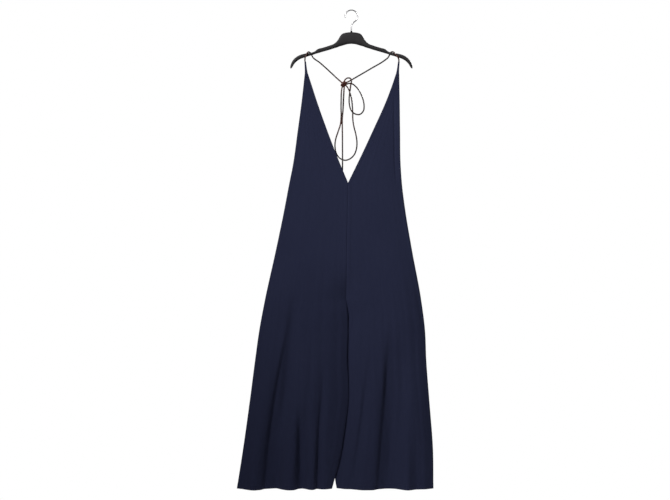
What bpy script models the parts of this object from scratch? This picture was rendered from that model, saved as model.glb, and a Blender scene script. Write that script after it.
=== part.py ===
"""Sleeveless wide-leg jumpsuit on a moulded hanger, hanging by its tie cords.

Metres, +Z up, +X to the wearer's left, +Y to the wearer's back. The origin is the
inner crown of the hanger's hook, so every height is a drop below the rail that the
hook hangs on. The cloth is four long panels, front and back, right and left, that
run without a waist seam from the shoulder points to the hems.
"""
import math
from collections import namedtuple

import bmesh
import bpy
import numpy as np
from mathutils import Vector

COLLECTION_NAME = "Jumpsuit"

# Driving dimensions.
CLOTH = 0.0018               # wall of the cloth, front to back
GAP = 0.0003                 # between neighbouring pieces
TIP_DROP = 0.222             # top of the front panels, where the straps start
UNDERARM_DROP = 0.544        # where front and back meet at the side
V_DROP = 0.603               # foot of the front neckline
BACK_DROP = 0.665            # lowest point of the back edge
RISE_DROP = 0.800            # the seams at front and back start to curve under
CROTCH_DROP = 1.013
OVERLAP_DROP = 1.050         # below this the right leg overlaps the left one
HEM_DROP = 1.672

# Side edges of the garment and the swell of its front and of its back at each drop.
# setback: how far the armhole edge stands in front of the side plane.
Section = namedtuple("Section", "drop right left front back setback")
SECTIONS = (
    Section(0.222, -0.1630, 0.1668, 0.0006, 0.0006, 0.0061),
    Section(0.313, -0.1730, 0.1684, 0.0040, 0.0040, 0.0052),
    Section(0.418, -0.1872, 0.1698, 0.0075, 0.0075, 0.0030),
    Section(0.544, -0.2051, 0.1722, 0.0120, 0.0120, 0.0000),
    Section(0.607, -0.2177, 0.1768, 0.0135, 0.0135, 0.0000),
    Section(0.698, -0.2349, 0.1883, 0.0160, 0.0160, 0.0000),
    Section(0.838, -0.2639, 0.2118, 0.0190, 0.0205, 0.0000),
    Section(1.013, -0.3024, 0.2440, 0.0225, 0.0260, 0.0000),
    Section(1.118, -0.3220, 0.2573, 0.0245, 0.0295, 0.0000),
    Section(1.223, -0.3367, 0.2618, 0.0270, 0.0340, 0.0000),
    Section(1.363, -0.3549, 0.2723, 0.0310, 0.0380, 0.0000),
    Section(1.538, -0.3794, 0.2853, 0.0355, 0.0430, 0.0000),
    Section(1.672, -0.4004, 0.2867, 0.0390, 0.0465, 0.0000),
)

SECTION_POWER = {"front": 2.8, "back": 2.0}   # 2 is a round section, more is flatter

# Neckline edges from the shoulder points down to the foot of the V.
NeckPoint = namedtuple("NeckPoint", "drop right left")
NECKLINE = (
    NeckPoint(0.222, -0.1521, 0.1556),
    NeckPoint(0.257, -0.1405, 0.1440),
    NeckPoint(0.313, -0.1225, 0.1232),
    NeckPoint(0.418, -0.0854, 0.0763),
    NeckPoint(0.523, -0.0452, 0.0273),
    NeckPoint(0.603, -0.0119, -0.0119),
)

# The centre seams lean a little, as the garment hangs.
CENTRE_AT_V = -0.0119
CENTRE_AT_CROTCH = -0.0185

# Inner edges of the two legs. The right leg hangs in front of the left one.
# stagger: how far the right inner edge comes forward and the left one goes back.
LegPoint = namedtuple("LegPoint", "drop right left stagger")
INSEAMS = (
    LegPoint(1.013, -0.0185, -0.0185, 0.0000),
    LegPoint(1.050, -0.0145, -0.0145, 0.0042),
    LegPoint(1.118, -0.0130, -0.0178, 0.0048),
    LegPoint(1.209, -0.0154, -0.0205, 0.0060),
    LegPoint(1.359, -0.0108, -0.0156, 0.0040),
    LegPoint(1.457, -0.0232, -0.0282, 0.0062),
    LegPoint(1.573, -0.0424, -0.0468, 0.0062),
    LegPoint(1.633, -0.0574, -0.0574, 0.0050),
    LegPoint(1.672, -0.0683, -0.0512, 0.0042),
)

# Largest folds. Each runs down from its start, swings sideways by bow, and grows
# to its height at the foot: below zero is a trough, above zero a ridge. near and
# far are its widths on the -X and +X sides.
Fold = namedtuple("Fold", "panel start foot x_start x_foot bow height near far")
FOLDS = (
    Fold("front_right", 1.140, HEM_DROP, -0.184, -0.265, -0.018, -0.0270, 0.045, 0.030),
    Fold("front_right", 1.330, HEM_DROP, -0.160, -0.168, 0.000, -0.0200, 0.030, 0.020),
    Fold("front_right", 1.107, HEM_DROP, -0.080, -0.115, -0.010, -0.0100, 0.016, 0.018),
    Fold("front_right", 1.150, HEM_DROP, -0.270, -0.343, -0.012, 0.0090, 0.034, 0.022),
    Fold("front_left", 1.080, HEM_DROP, 0.174, 0.146, 0.004, -0.0240, 0.058, 0.034),
    Fold("front_left", 1.156, HEM_DROP, 0.074, -0.002, 0.005, -0.0060, 0.016, 0.022),
    Fold("front_left", 1.300, HEM_DROP, 0.175, 0.193, 0.000, 0.0070, 0.030, 0.018),
    Fold("front_left", 1.340, HEM_DROP, 0.205, 0.226, 0.004, -0.0070, 0.018, 0.022),
    Fold("back_right", 1.090, HEM_DROP, -0.120, -0.160, -0.010, -0.0130, 0.040, 0.022),
    Fold("back_right", 1.220, HEM_DROP, -0.225, -0.268, -0.004, -0.0100, 0.024, 0.020),
    Fold("back_right", 1.160, HEM_DROP, -0.270, -0.335, -0.006, 0.0080, 0.026, 0.028),
    Fold("back_left", 1.060, HEM_DROP, 0.060, 0.034, 0.006, -0.0120, 0.022, 0.036),
    Fold("back_left", 1.260, HEM_DROP, 0.132, 0.128, 0.003, 0.0080, 0.024, 0.020),
    Fold("back_left", 1.180, HEM_DROP, 0.178, 0.202, 0.004, -0.0110, 0.020, 0.028),
)
SEAM_EASE = 0.14             # share of a panel's width over which a fold dies at a seam

COLUMNS = 20                 # faces across a panel
NECK_ROWS = 9
BODY_ROWS = 4
RISE_ROWS = 6
LEG_ROWS = 10

# Straps: narrow tabs of the same cloth between the panel tips and the cords.
TAB_TOP_DROP = 0.1815
TAB_WIDTH = 0.0064
TAB_THICK = 0.0048
TabEnds = namedtuple("TabEnds", "side x_top x_foot")
TABS = (TabEnds("right", -0.1614, -0.1577), TabEnds("left", 0.1655, 0.1613))
TAB_Y = -0.0070
TAB_ROUNDING = 0.3           # of the tab's thickness

# Hanger: half outline, mirrored at the centre. out is the distance from the centre.
Rib = namedtuple("Rib", "out top foot half_depth")
HANGER_RIBS = (
    Rib(0.0000, 0.0756, 0.1162, 0.0050),
    Rib(0.0120, 0.0764, 0.1172, 0.0050),
    Rib(0.0245, 0.0786, 0.1204, 0.0050),
    Rib(0.0326, 0.0819, 0.1229, 0.0051),
    Rib(0.0396, 0.0896, 0.1246, 0.0052),
    Rib(0.0466, 0.1019, 0.1274, 0.0054),
    Rib(0.0536, 0.1103, 0.1299, 0.0056),
    Rib(0.0606, 0.1162, 0.1318, 0.0058),
    Rib(0.0746, 0.1218, 0.1365, 0.0060),
    Rib(0.1026, 0.1306, 0.1446, 0.0060),
    Rib(0.1190, 0.1355, 0.1495, 0.0060),
    Rib(0.1278, 0.1425, 0.1520, 0.0056),
    Rib(0.1365, 0.1463, 0.1554, 0.0054),
    Rib(0.1505, 0.1488, 0.1593, 0.0054),
    Rib(0.1645, 0.1512, 0.1642, 0.0056),
    Rib(0.1785, 0.1551, 0.1692, 0.0060),
    Rib(0.1925, 0.1624, 0.1785, 0.0060),
    Rib(0.2013, 0.1701, 0.1883, 0.0058),
    Rib(0.2083, 0.1799, 0.2000, 0.0054),
    Rib(0.2138, 0.1930, 0.2037, 0.0042),
)
RIB_SIDES = 12
RIB_SQUARENESS = 0.78        # 1 is an ellipse, smaller is boxier

FERRULE_RADIUS = 0.0036
FERRULE_HEIGHT = 0.0046
FERRULE_TAPER = 0.8          # top radius as a share of the foot's

WIRE_RADIUS = 0.0018
HOOK_INNER_RADIUS = 0.0200
HOOK_ARC_START = -62.0       # degrees, lower right
HOOK_ARC_END = 205.0         # degrees, lower left
HOOK_ARC_STEPS = 18
HOOK_STEP = 0.0045           # distance between the points of the hook's tube
STEM_TOP_SHARE = 0.86        # where the straight stem ends, as a share of its foot's drop
STEM_BEND = (0.0006, 0.0, -0.0530)

# Cords of the tie, all of one leather cord, and the knot that gathers them.
CORD_RADIUS = 0.0022
CORD_STEP = 0.0090           # distance between the points of a hanging cord's tube
WRAP_STEP = 0.0055           # the same for the strap cords, which bend over the hanger
KNOT_CENTRE = (-0.0266, 0.0090, -0.2562)
KNOT_RADIUS = 0.0092
KNOT_SEGMENTS = 16
KNOT_RINGS = 10
CURVE_SAMPLES = 40           # samples for each point of a route, before it is evened out

# Where a cord leaves the knot: around is the angle in the front view from +X
# towards +Z, back is the angle towards +Y, both in degrees. clear is the way from
# the knot's surface to the middle of the cord's flat end, more where it leaves aslant.
KnotExit = namedtuple("KnotExit", "around back clear")
EXITS = {
    "cord_right": KnotExit(140.0, 0.0, 0.0005),
    "cord_left": KnotExit(32.0, -8.0, 0.0006),
    "loop_small_start": KnotExit(82.0, -32.0, 0.0016),
    "loop_small_end": KnotExit(2.0, 34.0, 0.0016),
    "loop_large_start": KnotExit(-34.0, -22.0, 0.0013),
    "loop_large_end": KnotExit(-124.0, 10.0, 0.0013),
    "tail_long": KnotExit(-80.0, -30.0, 0.0014),
    "tail_short": KnotExit(-78.0, 36.0, 0.0016),
}

# Routes between the ends. The strap cords run up in front of the hanger's arm,
# over its notch and down behind it to the knot.
CORD_RIGHT_ROUTE = (
    (-0.1617, -0.0072, -0.1806),
    (-0.1624, -0.0078, -0.1730),
    (-0.1611, -0.0085, -0.1640),
    (-0.1572, -0.0090, -0.1556),
    (-0.1530, -0.0069, -0.1478),
    (-0.1479, 0.0000, -0.1449),
    (-0.1430, 0.0069, -0.1468),
    (-0.1392, 0.0092, -0.1538),
    (-0.1348, 0.0094, -0.1618),
    (-0.1117, 0.0093, -0.1799),
    (-0.0725, 0.0092, -0.2149),
    (-0.0450, 0.0091, -0.2405),
)
CORD_LEFT_ROUTE = (
    (0.1657, -0.0072, -0.1806),
    (0.1656, -0.0078, -0.1730),
    (0.1620, -0.0085, -0.1640),
    (0.1547, -0.0090, -0.1555),
    (0.1489, -0.0067, -0.1477),
    (0.1436, 0.0000, -0.1442),
    (0.1385, 0.0071, -0.1450),
    (0.1343, 0.0092, -0.1526),
    (0.1294, 0.0094, -0.1618),
    (0.1162, 0.0093, -0.1729),
    (0.0697, 0.0091, -0.2009),
    (0.0098, 0.0084, -0.2359),
    (-0.0080, 0.0080, -0.2462),
)
LOOP_SMALL_ROUTE = (
    (-0.0208, 0.0036, -0.2400),
    (-0.0130, 0.0032, -0.2355),
    (-0.0042, 0.0026, -0.2366),
    (0.0000, 0.0026, -0.2440),
    (-0.0020, 0.0062, -0.2580),
    (-0.0045, 0.0112, -0.2780),
    (-0.0077, 0.0122, -0.3060),
    (-0.0066, 0.0122, -0.3280),
    (0.0010, 0.0124, -0.3500),
    (0.0130, 0.0126, -0.3600),
    (0.0290, 0.0128, -0.3620),
    (0.0420, 0.0130, -0.3500),
    (0.0446, 0.0132, -0.3280),
    (0.0400, 0.0134, -0.3060),
    (0.0300, 0.0136, -0.2830),
    (0.0160, 0.0140, -0.2640),
    (0.0030, 0.0146, -0.2545),
    (-0.0090, 0.0148, -0.2530),
)
LOOP_LARGE_ROUTE = (
    (-0.0120, 0.0058, -0.2700),
    (-0.0052, 0.0056, -0.2860),
    (0.0000, 0.0060, -0.3040),
    (0.0032, 0.0068, -0.3300),
    (0.0046, 0.0076, -0.3560),
    (0.0052, 0.0082, -0.3800),
    (0.0090, 0.0088, -0.4050),
    (0.0160, 0.0092, -0.4330),
    (0.0196, 0.0096, -0.4600),
    (0.0176, 0.0100, -0.4840),
    (0.0090, 0.0104, -0.5050),
    (-0.0050, 0.0108, -0.5180),
    (-0.0220, 0.0110, -0.5230),
    (-0.0400, 0.0112, -0.5160),
    (-0.0525, 0.0112, -0.4980),
    (-0.0574, 0.0112, -0.4740),
    (-0.0552, 0.0112, -0.4500),
    (-0.0470, 0.0110, -0.4240),
    (-0.0386, 0.0108, -0.3980),
    (-0.0358, 0.0106, -0.3700),
    (-0.0362, 0.0104, -0.3400),
    (-0.0358, 0.0104, -0.3080),
    (-0.0350, 0.0102, -0.2840),
)
TAIL_LONG_ROUTE = (
    (-0.0258, 0.0038, -0.2740),
    (-0.0272, 0.0040, -0.2960),
    (-0.0286, 0.0042, -0.3240),
    (-0.0296, 0.0044, -0.3520),
    (-0.0318, 0.0046, -0.3760),
    (-0.0318, 0.0046, -0.4060),
    (-0.0314, 0.0046, -0.4400),
    (-0.0312, 0.0044, -0.4800),
    (-0.0310, 0.0042, -0.5200),
    (-0.0312, 0.0040, -0.5560),
    (-0.0322, 0.0040, -0.5860),
)
TAIL_SHORT_ROUTE = (
    (-0.0254, 0.0148, -0.2740),
    (-0.0266, 0.0152, -0.2960),
    (-0.0278, 0.0154, -0.3240),
    (-0.0296, 0.0156, -0.3500),
    (-0.0326, 0.0156, -0.3740),
    (-0.0334, 0.0156, -0.3960),
)

# Colour, roughness and metallic value of each material.
Finish = namedtuple("Finish", "colour roughness metallic")
FINISHES = {
    "cloth": Finish((0.021, 0.025, 0.050), 0.85, 0.0),
    "cord": Finish((0.075, 0.028, 0.020), 0.50, 0.0),
    "hanger": Finish((0.030, 0.029, 0.031), 0.45, 0.0),
    "hook": Finish((0.700, 0.700, 0.720), 0.22, 1.0),
}


def clear_scene():
    """Remove the scene's objects."""
    for item in list(bpy.data.objects):
        bpy.data.objects.remove(item, do_unlink=True)


def make_material(name):
    """A Principled material from one row of the finishes."""
    finish = FINISHES[name]
    material = bpy.data.materials.new(name)
    material.use_nodes = True
    shader = material.node_tree.nodes["Principled BSDF"]
    shader.inputs["Base Color"].default_value = (*finish.colour, 1.0)
    shader.inputs["Roughness"].default_value = finish.roughness
    shader.inputs["Metallic"].default_value = finish.metallic
    return material


def add_object(name, data, material, collection):
    """Link one named sub-part with its material to the object's collection."""
    item = bpy.data.objects.new(name, data)
    item.data.materials.append(material)
    collection.objects.link(item)
    return item


def read_curve(xs, ys, at):
    """Smooth curve through (xs, ys): cubic pieces with averaged slopes."""
    xs = np.asarray(xs, dtype=float)
    ys = np.asarray(ys, dtype=float)
    slopes = np.gradient(ys, xs)
    piece = np.clip(np.searchsorted(xs, at) - 1, 0, len(xs) - 2)
    width = xs[piece + 1] - xs[piece]
    t = np.clip((at - xs[piece]) / width, 0.0, 1.0)
    start = ys[piece] * (1 + 2 * t) * (1 - t) ** 2
    end = ys[piece + 1] * t * t * (3 - 2 * t)
    bend = width * t * (1 - t) * ((1 - t) * slopes[piece] - t * slopes[piece + 1])
    return start + end + bend


def read_table(table, column, drop):
    """One named column of a table at each drop."""
    drops = [row.drop for row in table]
    values = [getattr(row, column) for row in table]
    return read_curve(drops, values, drop)


def ramp(t):
    """Smooth rise from 0 at t = 0 to 1 at t = 1."""
    t = np.clip(t, 0.0, 1.0)
    return t * t * (3 - 2 * t)


def inner_edge(side, drop):
    """x of a panel's inner edge: neckline, then centre seam, then inseam."""
    neck = read_table(NECKLINE, side, drop)
    share = (drop - V_DROP) / (CROTCH_DROP - V_DROP)
    seam = CENTRE_AT_V + (CENTRE_AT_CROTCH - CENTRE_AT_V) * share
    leg = read_table(INSEAMS, side, drop)
    edge = np.where(drop < V_DROP, neck, np.where(drop < CROTCH_DROP, seam, leg))
    towards_side = -1.0 if side == "right" else 1.0
    return edge + towards_side * GAP / 2


def fold_height(panel, x, drop):
    """Sum of a panel's folds: bells across, each growing down its own line."""
    total = np.zeros_like(x)
    for fold in FOLDS:
        if fold.panel != panel:
            continue
        t = np.clip((drop - fold.start) / (fold.foot - fold.start), 0.0, 1.0)
        line = fold.x_start + (fold.x_foot - fold.x_start) * t + fold.bow * 4 * t * (1 - t)
        offset = x - line
        width = np.where(offset < 0, fold.near, fold.far)
        total += fold.height * ramp(t) * np.exp(-((offset / width) ** 2))
    return total


def panel_points(panel, drop, across):
    """Inner face of a panel at each drop and share of its width.

    across is 0 at the centre and 1 at the side. The section is a flattened lens,
    swell * (1 - abs(place)**SECTION_POWER[face]). In the body place is across, so the lens
    is thickest at the centre. In a leg it runs from 1 at the inseam to -1 at the
    side, so both edges are closed. opened blends the two over the crotch curve.
    """
    face, side = panel.split("_")
    opened = ramp((drop - RISE_DROP) / (CROTCH_DROP - RISE_DROP))
    place = opened - across * (1 + opened)
    inner = inner_edge(side, drop)
    outer = read_table(SECTIONS, side, drop)
    x = inner + (outer - inner) * across
    swell = read_table(SECTIONS, face, drop) * (1 - np.abs(place) ** SECTION_POWER[face])
    ease = ramp(across / SEAM_EASE) * ramp((1 - across) / SEAM_EASE)
    depth = GAP / 2 + swell + fold_height(panel, x, drop) * ease
    stagger = np.where(drop < CROTCH_DROP, 0.0, read_table(INSEAMS, "stagger", drop))
    lean = stagger * (1 - across) ** 2 * (-1.0 if side == "right" else 1.0)
    if face == "front":
        y = lean - depth - read_table(SECTIONS, "setback", drop)
    else:
        y = lean + depth
    return np.stack([x, y, -drop], axis=-1)


def leg_rows():
    """Drops of the rows from the start of the crotch curve to the hem."""
    rise = np.linspace(RISE_DROP, CROTCH_DROP, RISE_ROWS + 1)
    leg = np.linspace(OVERLAP_DROP, HEM_DROP, LEG_ROWS + 1)
    return np.concatenate([rise, leg])


def front_rows(across):
    """Level rows from the shoulder point to the hem."""
    neck = np.linspace(TIP_DROP, V_DROP, NECK_ROWS + 1)
    body = np.linspace(V_DROP, RISE_DROP, BODY_ROWS + 1)
    drops = np.concatenate([neck, body[1:], leg_rows()[1:]])
    return np.tile(drops[:, None], (1, len(across)))


def back_rows(across):
    """Rows that follow the dipped back edge and level out at the crotch curve."""
    edge = UNDERARM_DROP + (BACK_DROP - UNDERARM_DROP) * (1 - across ** 2)
    share = np.linspace(0.0, 1.0, BODY_ROWS + 2)[:, None]
    body = edge[None, :] * (1 - share) + RISE_DROP * share
    legs = np.tile(leg_rows()[1:, None], (1, len(across)))
    return np.concatenate([body, legs])


def make_panel(panel, material, collection):
    """A panel: its inner face as a grid, thickened away from the wearer."""
    across = np.linspace(0.0, 1.0, COLUMNS + 1)
    front = panel.startswith("front")
    drop = front_rows(across) if front else back_rows(across)
    points = panel_points(panel, drop, np.tile(across, (len(drop), 1)))
    mesh_builder = bmesh.new()
    bmesh.ops.create_grid(
        mesh_builder, x_segments=COLUMNS, y_segments=len(drop) - 1, size=1.0
    )
    for vertex, point in zip(mesh_builder.verts, points.reshape(-1, 3)):
        vertex.co = point
    bmesh.ops.triangulate(mesh_builder, faces=mesh_builder.faces[:])
    outward = Vector((0.0, -CLOTH if front else CLOTH, 0.0))
    extrude_sheet(mesh_builder, outward)
    mesh = bpy.data.meshes.new(panel)
    mesh_builder.to_mesh(mesh)
    mesh_builder.free()
    return add_object(panel, mesh, material, collection)


def extrude_sheet(mesh_builder, travel):
    """Turn an open sheet into a closed wall by extruding it along travel."""
    result = bmesh.ops.extrude_face_region(mesh_builder, geom=mesh_builder.faces[:])
    moved = [part for part in result["geom"] if isinstance(part, bmesh.types.BMVert)]
    bmesh.ops.translate(mesh_builder, verts=moved, vec=travel)
    bmesh.ops.recalc_face_normals(mesh_builder, faces=mesh_builder.faces[:])


def make_tab(ends, material, collection):
    """A strap's narrow end: a flat bar between the panel tip and its cord."""
    top = -TAB_TOP_DROP
    foot = -TIP_DROP + GAP
    bpy.ops.mesh.primitive_cube_add(size=1.0, location=(0.0, 0.0, 0.0))
    tab = bpy.context.object
    tab.name = "strap_" + ends.side
    for vertex in tab.data.vertices:
        share = vertex.co.z + 0.5
        middle = ends.x_foot + (ends.x_top - ends.x_foot) * share
        vertex.co.x = middle + vertex.co.x * TAB_WIDTH
        vertex.co.y = TAB_Y + vertex.co.y * TAB_THICK
        vertex.co.z = foot + (top - foot) * share
    tab.data.materials.append(material)
    bevel = tab.modifiers.new("rounded edges", "BEVEL")
    bevel.width = TAB_THICK * TAB_ROUNDING
    bevel.segments = 2
    move_to(tab, collection)
    return tab


def move_to(item, collection):
    """Link an object to the object's collection alone."""
    for old in list(item.users_collection):
        old.objects.unlink(item)
    collection.objects.link(item)


def even_path(route, step):
    """Points a step apart on the smooth curve through a route's points."""
    route = np.asarray(route, dtype=float)
    lengths = np.linalg.norm(np.diff(route, axis=0), axis=1)
    at = np.concatenate([[0.0], np.cumsum(lengths)])
    fine = np.linspace(0.0, at[-1], CURVE_SAMPLES * len(route))
    curve = np.stack([read_curve(at, route[:, axis], fine) for axis in range(3)], axis=1)
    run = np.concatenate([[0.0], np.cumsum(np.linalg.norm(np.diff(curve, axis=0), axis=1))])
    count = max(2, int(round(run[-1] / step)) + 1)
    even = np.linspace(0.0, run[-1], count)
    return np.stack([np.interp(even, run, curve[:, axis]) for axis in range(3)], axis=1)


def make_tube(name, route, radius, step, material, collection):
    """A round tube with flat ends along a route."""
    points = even_path(route, step)
    curve = bpy.data.curves.new(name, "CURVE")
    curve.dimensions = "3D"
    curve.bevel_depth = radius
    curve.bevel_resolution = 2
    curve.use_fill_caps = True
    spline = curve.splines.new("POLY")
    spline.points.add(len(points) - 1)
    for target, point in zip(spline.points, points):
        target.co = (*point, 1.0)
    return add_object(name, curve, material, collection)


def knot_exit(name):
    """Point just off the knot's surface where a cord leaves it."""
    leave = EXITS[name]
    around = math.radians(leave.around)
    back = math.radians(leave.back)
    reach = KNOT_RADIUS + leave.clear
    return (
        KNOT_CENTRE[0] + reach * math.cos(around) * math.cos(back),
        KNOT_CENTRE[1] + reach * math.sin(back),
        KNOT_CENTRE[2] + reach * math.sin(around) * math.cos(back),
    )


def make_cords(material, collection):
    """The two strap cords, the knot and the bow's loops and tails."""
    routes = {
        "cord_right": (*CORD_RIGHT_ROUTE, knot_exit("cord_right")),
        "cord_left": (*CORD_LEFT_ROUTE, knot_exit("cord_left")),
        "loop_small": (
            knot_exit("loop_small_start"), *LOOP_SMALL_ROUTE, knot_exit("loop_small_end")
        ),
        "loop_large": (
            knot_exit("loop_large_start"), *LOOP_LARGE_ROUTE, knot_exit("loop_large_end")
        ),
        "tail_long": (knot_exit("tail_long"), *TAIL_LONG_ROUTE),
        "tail_short": (knot_exit("tail_short"), *TAIL_SHORT_ROUTE),
    }
    for name, route in routes.items():
        step = WRAP_STEP if name.startswith("cord") else CORD_STEP
        make_tube(name, route, CORD_RADIUS, step, material, collection)
    bpy.ops.mesh.primitive_uv_sphere_add(
        segments=KNOT_SEGMENTS,
        ring_count=KNOT_RINGS,
        radius=KNOT_RADIUS,
        location=KNOT_CENTRE,
    )
    knot = bpy.context.object
    knot.name = "knot"
    knot.data.materials.append(material)
    knot.data.shade_smooth()
    move_to(knot, collection)


def rib_ring(rib):
    """Rounded upright section of the hanger at one distance from the centre."""
    turn = np.arange(RIB_SIDES) * 2 * math.pi / RIB_SIDES
    side = np.sign(np.cos(turn)) * np.abs(np.cos(turn)) ** RIB_SQUARENESS
    rise = np.sign(np.sin(turn)) * np.abs(np.sin(turn)) ** RIB_SQUARENESS
    middle = -(rib.top + rib.foot) / 2
    half_height = (rib.foot - rib.top) / 2
    x = np.full(RIB_SIDES, rib.out)
    return np.stack([x, rib.half_depth * side, middle + half_height * rise], axis=1)


def make_hanger(material, collection):
    """The hanger's body: one arm lofted through its ribs, mirrored at the centre."""
    builder = bmesh.new()
    rings = []
    for rib in HANGER_RIBS:
        rings.append([builder.verts.new(point) for point in rib_ring(rib)])
    for ring, following in zip(rings, rings[1:]):
        for index in range(RIB_SIDES):
            after = (index + 1) % RIB_SIDES
            builder.faces.new(
                (ring[index], ring[after], following[after], following[index])
            )
    builder.faces.new(rings[-1])
    bmesh.ops.recalc_face_normals(builder, faces=builder.faces[:])
    mesh = bpy.data.meshes.new("hanger_body")
    builder.to_mesh(mesh)
    builder.free()
    hanger = add_object("hanger_body", mesh, material, collection)
    mirror = hanger.modifiers.new("other arm", "MIRROR")
    mirror.use_clip = True
    mirror.merge_threshold = 0.0001
    return hanger


def make_ferrule(material, collection):
    """The small collar on top of the hanger that takes the hook's stem."""
    foot = -HANGER_RIBS[0].top + GAP
    bpy.ops.mesh.primitive_cone_add(
        vertices=20,
        radius1=FERRULE_RADIUS,
        radius2=FERRULE_RADIUS * FERRULE_TAPER,
        depth=FERRULE_HEIGHT,
        location=(0.0, 0.0, foot + FERRULE_HEIGHT / 2),
    )
    ferrule = bpy.context.object
    ferrule.name = "hook_ferrule"
    ferrule.data.materials.append(material)
    move_to(ferrule, collection)
    return ferrule


def hook_route():
    """Stem up from the ferrule, then an open arc whose inner crown is the origin."""
    stem_foot = -HANGER_RIBS[0].top + FERRULE_HEIGHT + 2 * GAP
    radius = HOOK_INNER_RADIUS + WIRE_RADIUS
    points = [(0.0, 0.0, stem_foot), (0.0, 0.0, stem_foot * STEM_TOP_SHARE), STEM_BEND]
    for angle in np.linspace(HOOK_ARC_START, HOOK_ARC_END, HOOK_ARC_STEPS + 1):
        turn = math.radians(angle)
        x = radius * math.cos(turn)
        z = -HOOK_INNER_RADIUS + radius * math.sin(turn)
        points.append((x, 0.0, z))
    return points


def build():
    """Make every sub-part of the garment and the hanger that holds it."""
    clear_scene()
    collection = bpy.data.collections.new(COLLECTION_NAME)
    bpy.context.scene.collection.children.link(collection)
    materials = {name: make_material(name) for name in FINISHES}
    for panel in ("front_right", "front_left", "back_right", "back_left"):
        make_panel(panel, materials["cloth"], collection)
    for ends in TABS:
        make_tab(ends, materials["cloth"], collection)
    make_cords(materials["cord"], collection)
    make_hanger(materials["hanger"], collection)
    make_ferrule(materials["hanger"], collection)
    make_tube("hanger_hook", hook_route(), WIRE_RADIUS, HOOK_STEP, materials["hook"], collection)


build()
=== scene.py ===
# %% [markdown]
# # Jumpsuit on a hanger
# A long sleeveless jumpsuit of matt navy crepe hangs flat on a moulded hanger. The
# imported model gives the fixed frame: metres, +Z up, +X to the wearer's left, +Y to the
# wearer's back, and the origin at the inner crown of the hanger's hook.

# %% load the frame
import math
from collections import namedtuple

import bpy
import numpy as np
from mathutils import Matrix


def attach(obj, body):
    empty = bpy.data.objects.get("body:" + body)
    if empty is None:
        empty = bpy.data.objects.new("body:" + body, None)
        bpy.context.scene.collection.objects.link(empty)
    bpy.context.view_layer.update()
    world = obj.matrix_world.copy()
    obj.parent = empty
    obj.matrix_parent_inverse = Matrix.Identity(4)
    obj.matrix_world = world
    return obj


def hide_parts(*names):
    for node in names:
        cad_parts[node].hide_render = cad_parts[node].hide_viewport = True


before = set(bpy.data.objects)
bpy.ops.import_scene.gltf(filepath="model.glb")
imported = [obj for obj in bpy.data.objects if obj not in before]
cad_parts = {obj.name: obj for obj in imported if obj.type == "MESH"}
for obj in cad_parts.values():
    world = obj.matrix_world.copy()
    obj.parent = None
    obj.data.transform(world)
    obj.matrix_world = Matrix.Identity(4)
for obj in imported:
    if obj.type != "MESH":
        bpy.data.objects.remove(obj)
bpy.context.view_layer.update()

print("nodes:", ", ".join(sorted(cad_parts)))

# %% [markdown]
# ## Camera, light and floor
# The render is 670 by 500 pixels and each covers 3.5 mm in the hanger's plane. The
# camera stands level, four metres in front, and looks straight along +Y. An even white
# room could light the piece alone, but folds as shallow as these only show in a light
# from one side. So a key light comes from the upper left, with a weak fill on the right
# and a light behind for the back.

# %% camera
RENDER_SIZE = (670, 500)
PIXEL = 0.0035                     # metres that a pixel covers at y = 0
CROWN_PIXEL = (351.4, 10.6)        # where the frame's origin lies in the render
CAMERA_DISTANCE = 4.0
SENSOR = 36.0                      # millimetres


def add_object(name, data):
    """An object for a camera, a light or a mesh, linked into the scene."""
    item = bpy.data.objects.new(name, data)
    bpy.context.scene.collection.objects.link(item)
    return item


def add_camera():
    """A level camera: its lens is sensor * distance / the width that it covers."""
    data = bpy.data.cameras.new("camera")
    data.sensor_width = SENSOR
    data.lens = SENSOR * CAMERA_DISTANCE / (RENDER_SIZE[0] * PIXEL)
    camera = add_object("camera", data)
    camera.location = (
        (RENDER_SIZE[0] / 2 - CROWN_PIXEL[0]) * PIXEL,
        -CAMERA_DISTANCE,
        -(RENDER_SIZE[1] / 2 - CROWN_PIXEL[1]) * PIXEL,
    )
    camera.rotation_euler = (math.pi / 2, 0.0, 0.0)
    bpy.context.scene.camera = camera
    return camera


camera = add_camera()
print("camera at", tuple(round(value, 4) for value in camera.location))

# %% lights
AreaLight = namedtuple("AreaLight", "name place aim size spread power")
LIGHTS = (
    AreaLight("key", (-4.7, -6.7, 3.7), (0.50, 0.0, -0.5), 1.8, 20.0, 15.6),
    AreaLight("fill", (2.4, -5.6, 2.2), (0.3, 0.0, -0.2), 2.2, 40.0, 4.5),
    AreaLight("behind", (3.6, 6.2, 2.6), (0.0, 0.0, -0.5), 2.2, 50.0, 70.0),
)


def aim(item, target):
    """Turn a light so that it shines at a point."""
    direction = np.array(target) - np.array(item.location)
    flat = math.hypot(direction[0], direction[1])
    item.rotation_euler = (
        math.pi / 2 + math.atan2(direction[2], flat),
        0.0,
        math.atan2(-direction[0], direction[1]),
    )


def add_light(spec):
    """One square area light."""
    data = bpy.data.lights.new(spec.name, "AREA")
    data.size = spec.size
    data.spread = math.radians(spec.spread)
    data.energy = spec.power
    light = add_object(spec.name, data)
    light.location = spec.place
    aim(light, spec.aim)


for light_spec in LIGHTS:
    add_light(light_spec)
print("lights:", ", ".join(light_spec.name for light_spec in LIGHTS))

# %% room and floor
WORLD_SEEN = 1.00                  # brightness of the plain backdrop
WORLD_LIGHT = 0.06                 # brightness with which it lights the piece
FLOOR_DROP = 1.86
FLOOR_HALF = 0.6
FLOOR_PAINT = (0.93, 0.93, 0.93, 1.0)


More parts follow.
